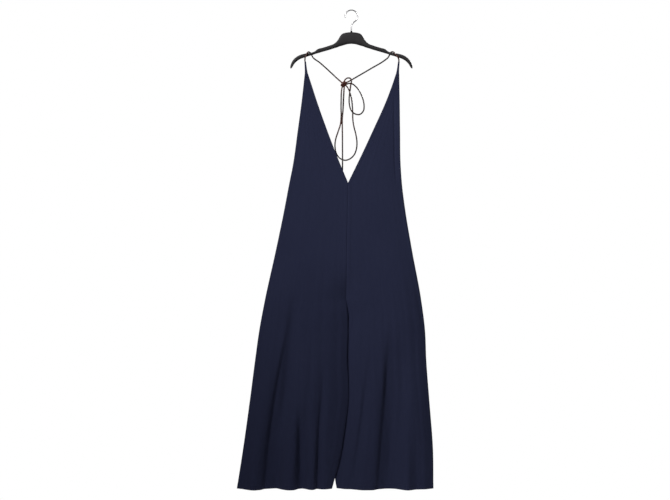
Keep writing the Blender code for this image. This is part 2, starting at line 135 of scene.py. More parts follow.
def add_world():
    """A plain white room, dimmer as a light than as a backdrop."""
    world = bpy.data.worlds.new("studio")
    bpy.context.scene.world = world
    world.use_nodes = True
    tree = world.node_tree
    shade = tree.nodes["Background"]
    path = tree.nodes.new("ShaderNodeLightPath")
    mix = tree.nodes.new("ShaderNodeMix")
    mix.data_type = "FLOAT"
    mix.inputs["A"].default_value = WORLD_LIGHT
    mix.inputs["B"].default_value = WORLD_SEEN
    tree.links.new(path.outputs["Is Camera Ray"], mix.inputs["Factor"])
    tree.links.new(mix.outputs["Result"], shade.inputs["Strength"])
    shade.inputs["Color"].default_value = (1.0, 1.0, 1.0, 1.0)


def new_material(name, **values):
    """A node material, its tree and its Principled shader, with plain values set by name."""
    material = bpy.data.materials.new(name)
    material.use_nodes = True
    shader = material.node_tree.nodes["Principled BSDF"]
    for key, value in values.items():
        shader.inputs[key.replace("_", " ")].default_value = value
    return material, material.node_tree, shader


def add_floor():
    """A pale floor below the hems."""
    corners = [(-1, -1), (1, -1), (1, 1), (-1, 1)]
    points = [(x * FLOOR_HALF, y * FLOOR_HALF, -FLOOR_DROP) for x, y in corners]
    mesh = bpy.data.meshes.new("floor")
    mesh.from_pydata(points, [], [(0, 1, 2, 3)])
    mesh.materials.append(new_material("floor_paint", Base_Color=FLOOR_PAINT, Roughness=0.9)[0])
    add_object("floor", mesh)


add_world()
add_floor()
bpy.context.scene.view_settings.view_transform = "Standard"
print("floor", FLOOR_DROP, "m below the hook's inner crown")

# %% [markdown]
# ## Tools for surfaces
# Every new piece is a numpy surface: a grid of points worked out as a whole array, or
# a ring carried along a path. Modelling by hand or a cloth simulation could also shape
# them. A formula was chosen because it gives the same mesh each time and keeps every
# piece on the form of its solid. Curves between the rows of a table are cubic pieces.

# %% curves, ramps and bells
def read_curve(xs, ys, at):
    """Smooth curve through (xs, ys): cubic pieces with averaged slopes."""
    xs = np.asarray(xs, dtype=float)
    ys = np.asarray(ys, dtype=float)
    slopes = np.gradient(ys, xs)
    piece = np.clip(np.searchsorted(xs, at) - 1, 0, len(xs) - 2)
    width = xs[piece + 1] - xs[piece]
    t = np.clip((at - xs[piece]) / width, 0.0, 1.0)
    start = ys[piece] * (1 + 2 * t) * (1 - t) ** 2
    end = ys[piece + 1] * t * t * (3 - 2 * t)
    bend = width * t * (1 - t) * ((1 - t) * slopes[piece] - t * slopes[piece + 1])
    return start + end + bend


def read_table(table, column, at):
    """One named column of a table, read at values of its first column."""
    return read_curve([row[0] for row in table], [getattr(row, column) for row in table], at)


def ramp(t):
    """Smooth rise from 0 at t = 0 to 1 at t = 1."""
    t = np.clip(t, 0.0, 1.0)
    return t * t * (3 - 2 * t)


def bell(offset, width):
    """Smooth bump exp(-(offset / width)**2), which is 1 in the middle."""
    return np.exp(-((offset / width) ** 2))


def unit(vectors):
    """Vectors scaled to length 1."""
    return vectors / np.maximum(np.linalg.norm(vectors, axis=-1, keepdims=True), 1e-12)


print("a ramp half way:", ramp(0.5), "and a bell one width out:", round(bell(1.0, 1.0), 3))

# %% paths
CURVE_POINTS = 40                  # points read for each point of a route


def run_length(path):
    """Distance along a path at each of its points."""
    steps = np.linalg.norm(np.diff(path, axis=0), axis=1)
    return np.concatenate([[0.0], np.cumsum(steps)])


def read_path(run, path, at):
    """Points at distances along a path whose own points lie at run."""
    return np.stack([np.interp(at, run, path[:, axis]) for axis in range(3)], axis=1)


def even_path(route, step):
    """Points a step apart on the smooth curve through a route's points."""
    route = np.asarray(route, dtype=float)
    at = run_length(route)
    fine = np.linspace(0.0, at[-1], CURVE_POINTS * len(route))
    curve = np.stack([read_curve(at, route[:, axis], fine) for axis in range(3)], axis=1)
    run = run_length(curve)
    even = np.linspace(0.0, run[-1], max(2, int(round(run[-1] / step)) + 1))
    return read_path(run, curve, even)


def path_frames(path):
    """Tangent and two side vectors along a path, carried on without twist."""
    tangents = unit(np.gradient(path, axis=0))
    side = np.cross(tangents[0], (0.0, 1.0, 0.0))
    if np.linalg.norm(side) < 0.2:
        side = np.cross(tangents[0], (1.0, 0.0, 0.0))
    sides = []
    for tangent in tangents:
        side = side - tangent * np.dot(side, tangent)
        side = side / np.linalg.norm(side)
        sides.append(side)
    sides = np.array(sides)
    return tangents, sides, np.cross(tangents, sides)


print("points on a path of 0.1 m:", len(even_path([(0, 0, 0), (0, 0, 0.1)], 0.01)))

# %% grids and tubes
def grid_faces(rows, columns, start=0, around=False):
    """Quads of a grid of points, closed across its columns when around is set."""
    index = start + np.arange(rows * columns).reshape(rows, columns)
    if around:
        index = np.concatenate([index, index[:, :1]], axis=1)
    corners = (index[:-1, :-1], index[:-1, 1:], index[1:, 1:], index[1:, :-1])
    return np.stack(corners, axis=-1).reshape(-1, 4)


def full_turn(sides):
    """Angles of a ring's points, from 0 up to a whole turn."""
    return np.arange(sides) * 2 * math.pi / sides


def tube_arrays(path, radius, sides):
    """Rings along a path; radius is an array over stations and angles, or a number."""
    _, right, up = path_frames(path)
    turn = full_turn(sides)
    spread = np.broadcast_to(radius, (len(path), sides))[..., None]
    around = np.cos(turn)[None, :, None] * right[:, None] + np.sin(turn)[None, :, None] * up[:, None]
    points = path[:, None] + spread * around
    wrap = turn * float(np.mean(radius))
    return points, np.stack(np.broadcast_arrays(wrap, run_length(path)[:, None]), axis=-1)


def tube_faces(rows, sides, start=0):
    """Faces of a tube of rings with a flat cap at each end."""
    first = np.arange(sides)[::-1] + start
    last = np.arange(sides) + start + (rows - 1) * sides
    return [*grid_faces(rows, sides, start, around=True), first, last]


print("faces of a tube of 10 rings of 8 points:", len(tube_faces(10, 8)))

# %% pieces
def face_outwards(points, faces):
    """Faces of a closed surface, all turned round where they point inwards.

    The volume is a sixth of the sum of p0 . (p1 x p2) over a fan of triangles in each
    face. It is below zero where the faces point inwards.
    """
    fans = [(face[0], face[k], face[k + 1]) for face in faces for k in range(1, len(face) - 1)]
    corners = points[np.array(fans)]
    volume = (corners[:, 0] * np.cross(corners[:, 1], corners[:, 2])).sum() / 6
    return [face[::-1] for face in faces] if volume < 0 else faces


def add_piece(name, points, faces, material, cut=None, fields=None, sharp=50.0):
    """A mesh object; cut is a flat map in metres, fields are point attributes."""
    mesh = bpy.data.meshes.new(name)
    points = np.asarray(points, dtype=float).reshape(-1, 3)
    faces = face_outwards(points, [list(map(int, face)) for face in faces])
    mesh.from_pydata(points.tolist(), [], faces)
    if cut is not None:
        corner_points = np.empty(len(mesh.loops), dtype=np.int32)
        mesh.loops.foreach_get("vertex_index", corner_points)
        flat = np.asarray(cut, dtype=np.float32).reshape(-1, 2)[corner_points]
        mesh.uv_layers.new(name="cut").data.foreach_set("uv", flat.ravel())
    for field, values in (fields or {}).items():
        attribute = mesh.attributes.new(field, "FLOAT", "POINT")
        attribute.data.foreach_set("value", np.asarray(values, dtype=np.float32).ravel())
    mesh.update()
    mesh.shade_smooth()
    mesh.set_sharp_from_angle(angle=math.radians(sharp))
    mesh.materials.append(material)
    piece = add_object(name, mesh)
    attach(piece, "root")
    return piece


print("pieces ride on the root body")

# %% [markdown]
# ## Materials
# Cloth, thread, leather, plastic and wire are each one procedural material. Painted
# images could colour them too, but noise stays sharp at any distance and needs no file.
# The weave, which several pieces share, and the leather are node groups, built once.

# %% shader tools
def feed(tree, socket, value):
    """Give a socket its value: another socket, a number or a colour."""
    if isinstance(value, bpy.types.NodeSocket):
        tree.links.new(value, socket)
    else:
        socket.default_value = (*value, 1.0) if isinstance(value, tuple) else value


def math_node(tree, operation, *values):
    """One Math node on sockets or numbers."""
    node = tree.nodes.new("ShaderNodeMath")
    node.operation = operation
    for socket, value in zip(node.inputs, values):
        feed(tree, socket, value)
    return node.outputs[0]


def sloped(tree, value, slope, base=0.0):
    """slope * value + base."""
    return math_node(tree, "ADD", math_node(tree, "MULTIPLY", value, slope), base)


def mix_colours(tree, factor, low, high):
    """A colour between two, by a socket."""
    mix = tree.nodes.new("ShaderNodeMix")
    mix.data_type = "RGBA"
    for key, value in (("Factor", factor), ("A", low), ("B", high)):
        feed(tree, mix.inputs[key], value)
    return mix.outputs["Result"]


Noise = namedtuple("Noise", "scale detail roughness")


def noise(tree, vector, look):
    """Shares from 0 to 1 of a noise texture read at a vector socket."""
    texture = tree.nodes.new("ShaderNodeTexNoise")
    feed(tree, texture.inputs["Vector"], vector)
    for key, value in look._asdict().items():
        feed(tree, texture.inputs[key.capitalize()], value)
    return texture.outputs["Fac"]


def add_bump(tree, shader, height, strength, distance):
    """Bump from a height socket into the shader's normal."""
    bump = tree.nodes.new("ShaderNodeBump")
    for key, value in (("Height", height), ("Strength", strength), ("Distance", distance)):
        feed(tree, bump.inputs[key], value)
    feed(tree, shader.inputs["Normal"], bump.outputs["Normal"])


print("shader tools: feed, math_node, sloped, mix_colours, noise, add_bump")

# %% node groups
def new_group(name, inputs, outputs):
    """An empty node group with named sockets: its tree, its inlets and its outlets."""
    tree = bpy.data.node_groups.new(name, "ShaderNodeTree")
    for direction, sockets in (("INPUT", inputs), ("OUTPUT", outputs)):
        for key, kind in sockets.items():
            tree.interface.new_socket(key, in_out=direction, socket_type="NodeSocket" + kind)
    return tree, tree.nodes.new("NodeGroupInput").outputs, tree.nodes.new("NodeGroupOutput").inputs


def place_group(tree, group, **fields):
    """A group in a material, fed by the cut's flat map and by point fields."""
    node = tree.nodes.new("ShaderNodeGroup")
    node.node_tree = group
    cut = tree.nodes.new("ShaderNodeUVMap")
    cut.uv_map = "cut"
    feed(tree, node.inputs["Cut"], cut.outputs["UV"])
    for key, field in fields.items():
        attribute = tree.nodes.new("ShaderNodeAttribute")
        attribute.attribute_name = field
        feed(tree, node.inputs[key], attribute.outputs["Fac"])
    return node.outputs


print("node groups before the first is built:", len(bpy.data.node_groups))

# %% [markdown]
# ### Crepe
# Crepe is woven from tightly twisted yarn, which shrinks into pebbles and leaves the
# cloth matt. The yarns could be modelled one by one, but they are far smaller than a
# pixel. So a plain weave of sines and a fine noise bump the surface, and slow noises
# make the dye a little uneven.

# %% crepe
YARN = 0.00055                     # spacing of the crepe's yarns
PEBBLE = 0.0016                    # size of the crepe's pebbles
PEBBLES = Noise(1.0 / PEBBLE, 3.0, 0.6)
SLUBS = Noise(1.0, 2.0, 0.5)
SLUB_STRETCH = (160.0, 24.0, 1.0)  # slubs a metre across and along the cut
CLOUDS = Noise(7.0, 2.0, 0.55)
NAVY_DEEP = (0.0132, 0.0162, 0.0405)
NAVY_LIGHT = (0.0228, 0.0266, 0.0596)
THREAD_DEEP = (0.020, 0.024, 0.050)
THREAD_LIGHT = (0.034, 0.040, 0.074)
NAP_TINT = (0.55, 0.62, 0.95, 1.0)


def crepe_group():
    """Node group: height and tint of a crepe weave from the cut's flat map.

    Height is pebbles + 0.25 * sin(across) * sin(along). Tint is 0.45 * pebbles +
    0.25 * slubs + 0.30 * clouds.
    """
    tree, inlet, outlet = new_group("crepe", {"Cut": "Vector"}, {"Height": "Float", "Tint": "Float"})
    split = tree.nodes.new("ShaderNodeSeparateXYZ")
    feed(tree, split.inputs[0], inlet["Cut"])
    turns = [math_node(tree, "MULTIPLY", split.outputs[axis], math.pi / YARN) for axis in "XY"]
    yarns = math_node(tree, "MULTIPLY", *[math_node(tree, "SINE", turn) for turn in turns])
    pebbles = noise(tree, inlet["Cut"], PEBBLES)
    stretch = tree.nodes.new("ShaderNodeMapping")
    stretch.inputs["Scale"].default_value = SLUB_STRETCH
    feed(tree, stretch.inputs["Vector"], inlet["Cut"])
    slubs = noise(tree, stretch.outputs["Vector"], SLUBS)
    clouds = noise(tree, inlet["Cut"], CLOUDS)
    tint = sloped(tree, pebbles, 0.45, sloped(tree, slubs, 0.25))
    feed(tree, outlet["Height"], sloped(tree, yarns, 0.25, pebbles))
    feed(tree, outlet["Tint"], sloped(tree, clouds, 0.30, tint))
    return tree


CREPE = crepe_group()


def crepe_material(name, low, high):
    """Matt crepe: pebbled bump, slight uneven dye and a faint nap."""
    material, tree, shader = new_material(
        name,
        Roughness=0.92,
        Specular_IOR_Level=0.12,
        Sheen_Weight=0.03,
        Sheen_Roughness=0.55,
        Sheen_Tint=NAP_TINT,
    )
    weave = place_group(tree, CREPE)
    feed(tree, shader.inputs["Base Color"], mix_colours(tree, weave["Tint"], low, high))
    add_bump(tree, shader, weave["Height"], strength=0.55, distance=0.00035)
    return material


navy = crepe_material("navy_crepe", NAVY_DEEP, NAVY_LIGHT)
thread = crepe_material("navy_thread", THREAD_DEEP, THREAD_LIGHT)
print("cloth:", navy.name, "and", thread.name)

# %% [markdown]
# ### Leather
# The tie is dark brown leather. One flat colour could do for so thin a cord, but close
# up it would look like rubber. Two point fields drive it instead: one paints shade into
# the dips between the plies, the other a redder highlight at the knot, the arm and the
# tails. Slow noise adds redder patches of wear as well.

# %% leather
LEATHER_DARK = (0.006, 0.003, 0.0025)
LEATHER_MID = (0.022, 0.010, 0.007)
# painted redder highlight, also the colour of the redder wear from noise
LEATHER_HIGHLIGHT_AND_WEAR = (0.190, 0.052, 0.036)
# painted shade in the grooves between the plies
LEATHER_GROOVE_SHADE = (0.010, 0.005, 0.004)
LEATHER_GRAIN = Noise(2600.0, 3.0, 0.65)
LEATHER_WEAR = Noise(55.0, 3.0, 0.6)
WEAR_FROM = 0.50                   # noise above this shows as wear
WEAR_GAIN = 0.9


def leather_group():
    """Node group: colour, roughness and height of a laid leather cord.

    One field gives the share of a painted redder highlight, to which noise adds redder wear; the other
    mixes painted shade into the grooves.
    Roughness is 0.25 * grain + 0.34.
    """
    tree, inlet, outlet = new_group(
        "laid_leather",
        {"Cut": "Vector", "Groove": "Float", "Warm": "Float"},
        {"Color": "Color", "Roughness": "Float", "Height": "Float"},
    )
    grain = noise(tree, inlet["Cut"], LEATHER_GRAIN)
    wear = noise(tree, inlet["Cut"], LEATHER_WEAR)
    base = mix_colours(tree, grain, LEATHER_DARK, LEATHER_MID)
    worn = math_node(tree, "MULTIPLY", math_node(tree, "SUBTRACT", wear, WEAR_FROM), WEAR_GAIN)
    # share of the painted redder highlight plus patches of redder wear from noise, kept off the grooves
    share = math_node(tree, "ADD", inlet["Warm"], math_node(tree, "MAXIMUM", worn, 0.0))
    proud = math_node(tree, "SUBTRACT", 1.0, inlet["Groove"])
    highlight_and_wear = math_node(tree, "MULTIPLY", math_node(tree, "MINIMUM", share, 1.0), proud)
    highlighted_and_worn = mix_colours(tree, highlight_and_wear, base, LEATHER_HIGHLIGHT_AND_WEAR)
    # painted shade mixed into the grooves between the plies
    feed(tree, outlet["Color"], mix_colours(tree, inlet["Groove"], highlighted_and_worn, LEATHER_GROOVE_SHADE))
    feed(tree, outlet["Roughness"], sloped(tree, grain, 0.25, 0.34))
    feed(tree, outlet["Height"], grain)
    return tree


def leather_material():
    """Dark brown leather with painted shade in its grooves and a painted redder highlight, plus redder
    wear from noise.
    """
    material, tree, shader = new_material("tie_leather")
    laid = place_group(tree, leather_group(), Groove="groove", Warm="warm")
    feed(tree, shader.inputs["Base Color"], laid["Color"])
    feed(tree, shader.inputs["Roughness"], laid["Roughness"])
    add_bump(tree, shader, laid["Height"], strength=0.35, distance=0.00015)
    return material


leather = leather_material()
print("cord:", leather.name)

# %% [markdown]
# ### Plastic and wire
# The hanger is matt black moulded plastic with faint scuffs, and its hook is plated wire
# that has dulled in patches. The two differ only in their values, so one function makes
# both: slow marks tint and dull the surface and a fine grain bumps it.

# %% plastic and wire
Finish = namedtuple("Finish", "low high marks dulling smoothness grain strength")
PLASTIC = Finish(
    low=(0.011, 0.010, 0.011),
    high=(0.023, 0.021, 0.023),
    marks=Noise(38.0, 5.0, 0.7),
    dulling=0.25,
    smoothness=0.38,
    grain=Noise(1900.0, 2.0, 0.5),
    strength=0.25,
)
WIRE = Finish(
    low=(0.62, 0.62, 0.64),
    high=(0.80, 0.80, 0.81),
    marks=Noise(220.0, 4.0, 0.6),
    dulling=0.20,
    smoothness=0.12,
    grain=Noise(220.0, 4.0, 0.6),
    strength=0.08,
)
GRAIN_DEPTH = 0.0001


def hard_material(name, finish, **values):
    """Colour runs from low to high by the marks; roughness = dulling * marks + smoothness."""
    material, tree, shader = new_material(name, **values)
    place = tree.nodes.new("ShaderNodeTexCoord").outputs["Object"]
    marks = noise(tree, place, finish.marks)
    feed(tree, shader.inputs["Base Color"], mix_colours(tree, marks, finish.low, finish.high))
    feed(tree, shader.inputs["Roughness"], sloped(tree, marks, finish.dulling, finish.smoothness))
    add_bump(tree, shader, noise(tree, place, finish.grain), finish.strength, GRAIN_DEPTH)
    return material


plastic = hard_material("moulded_plastic", PLASTIC, Specular_IOR_Level=0.3)
wire = hard_material("plated_wire", WIRE, Metallic=1.0)
print("hanger:", plastic.name, "and", wire.name)

# %% [markdown]
# ## The tie
# One leather cord runs from each strap up in front of the hanger's arm, over its notch
# and down behind it to the knot, where the two are tied in a bow. The cord is laid from
# three plies. A curve with a round bevel would give a plain tube quickly. Rings carried
# along the route were chosen because their radius can dip by a groove between each pair
# of plies, and the grooves wind round once in every pitch.

# %% cord routes
CORD_RADIUS = 0.0022
CORD_PLIES = 3
CORD_PITCH = 0.0165
CORD_GROOVE = 0.20                 # depth of a groove as a share of the radius
CORD_PLUMP = 1.16                  # the plies stand out from the solid's plain tube
CORD_SIDES = 20
CORD_STATION = 0.0009
GROOVE_SHARPNESS = 1.6
KNOT_CENTRE = (-0.0266, 0.0090, -0.2562)
KNOT_RADIUS = 0.0092

# Where a cord leaves the knot: around is the angle in the front view from +X
# towards +Z, back is the angle towards +Y, both in degrees. clear is the way from
# the knot's surface to the middle of the cord's end.
KnotExit = namedtuple("KnotExit", "around back clear")
EXITS = {
    "cord_right": KnotExit(140.0, 0.0, 0.0005),
    "cord_left": KnotExit(32.0, -8.0, 0.0006),
    "loop_small_start": KnotExit(82.0, -32.0, 0.0016),
    "loop_small_end": KnotExit(2.0, 34.0, 0.0016),
    "loop_large_start": KnotExit(-34.0, -22.0, 0.0013),
    "loop_large_end": KnotExit(-124.0, 10.0, 0.0013),
    "tail_long": KnotExit(-80.0, -30.0, 0.0014),
    "tail_short": KnotExit(-78.0, 36.0, 0.0016),
}
ROUTES = {
    "cord_right": (
        (-0.1617, -0.0072, -0.1806), (-0.1624, -0.0078, -0.1730), (-0.1611, -0.0085, -0.1640),
        (-0.1572, -0.0090, -0.1556), (-0.1530, -0.0069, -0.1478), (-0.1479, 0.0000, -0.1449),
        (-0.1430, 0.0069, -0.1468), (-0.1392, 0.0092, -0.1538), (-0.1348, 0.0094, -0.1618),
        (-0.1117, 0.0093, -0.1799), (-0.0725, 0.0092, -0.2149), (-0.0450, 0.0091, -0.2405),
    ),
    "cord_left": (
        (0.1657, -0.0072, -0.1806), (0.1656, -0.0078, -0.1730), (0.1620, -0.0085, -0.1640),
        (0.1547, -0.0090, -0.1555), (0.1489, -0.0067, -0.1477), (0.1436, 0.0000, -0.1442),
        (0.1385, 0.0071, -0.1450), (0.1343, 0.0092, -0.1526), (0.1294, 0.0094, -0.1618),
        (0.1162, 0.0093, -0.1729), (0.0697, 0.0091, -0.2009), (0.0098, 0.0084, -0.2359),
        (-0.0080, 0.0080, -0.2462),
    ),
    "loop_small": (
        (-0.0208, 0.0036, -0.2400), (-0.0130, 0.0032, -0.2355), (-0.0042, 0.0026, -0.2366),
        (0.0000, 0.0026, -0.2440), (-0.0020, 0.0062, -0.2580), (-0.0045, 0.0112, -0.2780),
        (-0.0077, 0.0122, -0.3060), (-0.0066, 0.0122, -0.3280), (0.0010, 0.0124, -0.3500),
        (0.0130, 0.0126, -0.3600), (0.0290, 0.0128, -0.3620), (0.0420, 0.0130, -0.3500),
        (0.0446, 0.0132, -0.3280), (0.0400, 0.0134, -0.3060), (0.0300, 0.0136, -0.2830),
        (0.0160, 0.0140, -0.2640), (0.0030, 0.0146, -0.2545), (-0.0090, 0.0148, -0.2530),
    ),
    "loop_large": (
        (-0.0120, 0.0058, -0.2700), (-0.0052, 0.0056, -0.2860), (0.0000, 0.0060, -0.3040),
        (0.0032, 0.0068, -0.3300), (0.0046, 0.0076, -0.3560), (0.0052, 0.0082, -0.3800),
        (0.0090, 0.0088, -0.4050), (0.0160, 0.0092, -0.4330), (0.0196, 0.0096, -0.4600),
        (0.0176, 0.0100, -0.4840), (0.0090, 0.0104, -0.5050), (-0.0050, 0.0108, -0.5180),
        (-0.0220, 0.0110, -0.5230), (-0.0400, 0.0112, -0.5160), (-0.0525, 0.0112, -0.4980),
        (-0.0574, 0.0112, -0.4740), (-0.0552, 0.0112, -0.4500), (-0.0470, 0.0110, -0.4240),
        (-0.0386, 0.0108, -0.3980), (-0.0358, 0.0106, -0.3700), (-0.0362, 0.0104, -0.3400),
        (-0.0358, 0.0104, -0.3080), (-0.0350, 0.0102, -0.2840),
    ),
    "tail_long": (
        (-0.0258, 0.0038, -0.2740), (-0.0272, 0.0040, -0.2960), (-0.0286, 0.0042, -0.3240),
        (-0.0296, 0.0044, -0.3520), (-0.0318, 0.0046, -0.3760), (-0.0318, 0.0046, -0.4060),
        (-0.0314, 0.0046, -0.4400), (-0.0312, 0.0044, -0.4800), (-0.0310, 0.0042, -0.5200),
        (-0.0312, 0.0040, -0.5560), (-0.0322, 0.0040, -0.5860),
    ),
    "tail_short": (
        (-0.0254, 0.0148, -0.2740), (-0.0266, 0.0152, -0.2960), (-0.0278, 0.0154, -0.3240),
        (-0.0296, 0.0156, -0.3500), (-0.0326, 0.0156, -0.3740), (-0.0334, 0.0156, -0.3960),
    ),
}


def knot_exit(name):
    """Point just off the knot's surface where a cord leaves it."""
    leave = EXITS[name]
    around = math.radians(leave.around)
    back = math.radians(leave.back)
    reach = KNOT_RADIUS + leave.clear
    return (
        KNOT_CENTRE[0] + reach * math.cos(around) * math.cos(back),
        KNOT_CENTRE[1] + reach * math.sin(back),
        KNOT_CENTRE[2] + reach * math.sin(around) * math.cos(back),
    )


def whole_route(name):
    """A cord's route with its ends at the knot put on."""
    if name.startswith("cord"):
        return (*ROUTES[name], knot_exit(name))
    if name.startswith("loop"):
        return (knot_exit(name + "_start"), *ROUTES[name], knot_exit(name + "_end"))
    return (knot_exit(name), *ROUTES[name])


print("chosen points on the routes:", sum(len(route) for route in ROUTES.values()))

# %% cords
# Middle, reach and share of each place where a redder highlight is painted on the leather.
PAINTED_HIGHLIGHT_PLACES = (
    (KNOT_CENTRE, 0.0260, 0.85),
    ((-0.1540, -0.0060, -0.1560), 0.0200, 0.60),
    ((0.1560, -0.0060, -0.1560), 0.0200, 0.60),
    ((-0.0330, 0.0150, -0.3990), 0.0420, 0.45),
)
CordFacts = namedtuple("CordFacts", "name far_end lay length")
CORDS = (
    CordFacts("cord_right", "object", "taut", 0.205),
    CordFacts("cord_left", "object", "taut", 0.249),
    CordFacts("loop_small", "object", "hanging", 0.326),
    CordFacts("loop_large", "object", "hanging", 0.567),
    CordFacts("tail_long", "bare", "hanging", 0.321),
    CordFacts("tail_short", "bare", "hanging", 0.132),
)


def laid_radius(run, sides):
    """Radius and groove depth round a laid cord: the groove phase winds with run."""
    phase = CORD_PLIES / 2 * (full_turn(sides)[None, :] - 2 * math.pi * run[:, None] / CORD_PITCH)
    groove = (1 - np.abs(np.cos(phase))) ** GROOVE_SHARPNESS
    return CORD_RADIUS * (CORD_PLUMP - CORD_GROOVE * groove), groove


def painted_highlight_share(points):
    """How much painted redder highlight each point gets: most at the knot, the arm and the tails.

    Each highlight place adds share * bell(way, reach), way being the distance from it.
    """
    total = np.zeros(points.shape[:-1])
    for place, reach, share in PAINTED_HIGHLIGHT_PLACES:
        total += share * bell(np.linalg.norm(points - np.array(place), axis=-1), reach)
    return np.minimum(total, 1.0)


def cord_arrays(path):
    """Rings, flat map, groove field and painted highlight field of a laid cord along a path."""
    radius, groove = laid_radius(run_length(path), CORD_SIDES)
    points, cut = tube_arrays(path, radius, CORD_SIDES)
    return points, cut, groove, painted_highlight_share(points)


def add_cord(facts):
    """One declared cord of the tie in place of its plain tube."""
    path = even_path(whole_route(facts.name), CORD_STATION)
    points, cut, groove, warm = cord_arrays(path)
    faces = tube_faces(len(path), CORD_SIDES)
    fields = {"groove": groove, "warm": warm}
    piece = add_piece("tie_" + facts.name, points, faces, leather, cut, fields, sharp=70.0)
    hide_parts(facts.name)
    return piece


print("cords to add:", ", ".join(facts.name for facts in CORDS))

# %% [markdown]
# ### The knot
# A real bow's knot is the cord passing round and through itself. Following every pass
# would take long and hardly show. A short coil, a strand across it and a stub to each
# cord give the same bundle of strands, and each strand is the same laid cord.

# %% knot
COIL_RADIUS = 0.0072
COIL_TURNS = 3.15
COIL_STEP = 0.0050
STRAND_STEP = 0.0007
COIL_STATIONS = 60
KNOT_TILT = 24.0                   # degrees that the coil's axis leans from level
STUB_SHARES = (0.12, 0.55, 0.96)   # where a stub starts, bends and ends on its way out
STUB_BOW = 0.0016                  # how far the middle of a stub is bent
STRAND_OVER = (
    (-0.0090, 0.0010, -0.0050),
    (-0.0070, -0.0082, -0.0020),
    (0.0000, -0.0106, 0.0026),
    (0.0070, -0.0074, 0.0054),
    (0.0096, 0.0012, 0.0050),
)


def knot_strands():
    """Paths of the knot: a coil round the middle, a strand over it and eight stubs.

    The coil winds about a tilted level axis: x = step * turns, and y and z go round
    on the coil's radius. A stub curves from the coil's middle to each cord's exit.
    """
    middle = np.array(KNOT_CENTRE)
    turns = np.linspace(-COIL_TURNS / 2, COIL_TURNS / 2, COIL_STATIONS)
    angle = 2 * math.pi * turns
    out, up = COIL_STEP * turns, COIL_RADIUS * np.sin(angle)
    cos, sin = math.cos(math.radians(KNOT_TILT)), math.sin(math.radians(KNOT_TILT))
    coil = np.stack([out * cos - up * sin, COIL_RADIUS * np.cos(angle), out * sin + up * cos], axis=1)
    strands = [coil, even_path(STRAND_OVER, STRAND_STEP)]
    for name in EXITS:
        leave = np.array(knot_exit(name)) - middle
        bow = np.array((0.0, STUB_BOW, 0.0)) * math.copysign(1.0, leave[0])
        start, bend, end = (leave * share for share in STUB_SHARES)
        stub = (start, bend + bow, end)
        strands.append(even_path(stub, STRAND_STEP))
    return [even_path(middle + strand, STRAND_STEP) for strand in strands]


def add_knot():
    """The bow's knot as joined strands of the same laid cord."""
    strands = [cord_arrays(path) for path in knot_strands()]
    points, cut, groove, warm = (np.concatenate(arrays) for arrays in zip(*strands))
    faces, start = [], 0
    for rings, *_ in strands:
        faces += tube_faces(len(rings), CORD_SIDES, start)
        start += len(rings) * CORD_SIDES
    fields = {"groove": groove, "warm": warm}
    piece = add_piece("tie_knot", points, faces, leather, cut, fields, sharp=70.0)
    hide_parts("knot")
    return piece


knot = add_knot()
for cord_facts in CORDS:
    add_cord(cord_facts)
print("tie:", ", ".join(facts.name for facts in CORDS), "and the knot")

# %% [markdown]
# ## The cloth
# Four long panels, each a thin shell on the form of its solid. A panel's section is half
# a lens in the body and a whole lens in a leg. A cloth simulation could hang them, but
# it would not stop at the same folds twice. So short tables give each edge and depth at
# a few drops below the hook's crown, and curves join them.

# %% sizes of the cut
CLOTH_WALL = 0.0018                # wall of the solid that a shell replaces
GAP = 0.0003
TIP_DROP = 0.222
UNDERARM_DROP = 0.544
V_DROP = 0.603
BACK_DROP = 0.665
RISE_DROP = 0.800
CROTCH_DROP = 1.013
HEM_DROP = 1.672

Section = namedtuple("Section", "drop right left front back setback")
SECTIONS = (
    Section(0.222, -0.1630, 0.1668, 0.0006, 0.0006, 0.0061),
    Section(0.313, -0.1730, 0.1684, 0.0040, 0.0040, 0.0052),
    Section(0.418, -0.1872, 0.1698, 0.0075, 0.0075, 0.0030),
    Section(0.544, -0.2051, 0.1722, 0.0120, 0.0120, 0.0000),
    Section(0.607, -0.2177, 0.1768, 0.0135, 0.0135, 0.0000),
    Section(0.698, -0.2349, 0.1883, 0.0160, 0.0160, 0.0000),
    Section(0.838, -0.2639, 0.2118, 0.0190, 0.0205, 0.0000),
    Section(1.013, -0.3024, 0.2440, 0.0225, 0.0260, 0.0000),
    Section(1.118, -0.3220, 0.2573, 0.0245, 0.0295, 0.0000),
    Section(1.223, -0.3367, 0.2618, 0.0270, 0.0340, 0.0000),
    Section(1.363, -0.3549, 0.2723, 0.0310, 0.0380, 0.0000),
    Section(1.538, -0.3794, 0.2853, 0.0355, 0.0430, 0.0000),
    Section(1.672, -0.4004, 0.2867, 0.0390, 0.0465, 0.0000),
)
SECTION_POWER = {"front": 2.8, "back": 2.0}   # 2 is a round section, more is flatter

NeckPoint = namedtuple("NeckPoint", "drop right left")
NECKLINE = (
    NeckPoint(0.222, -0.1521, 0.1556),
    NeckPoint(0.257, -0.1405, 0.1440),
    NeckPoint(0.313, -0.1225, 0.1232),
    NeckPoint(0.418, -0.0854, 0.0763),
    NeckPoint(0.523, -0.0452, 0.0273),
    NeckPoint(0.603, -0.0119, -0.0119),
)
CENTRE_AT_V = -0.0119
CENTRE_AT_CROTCH = -0.0185

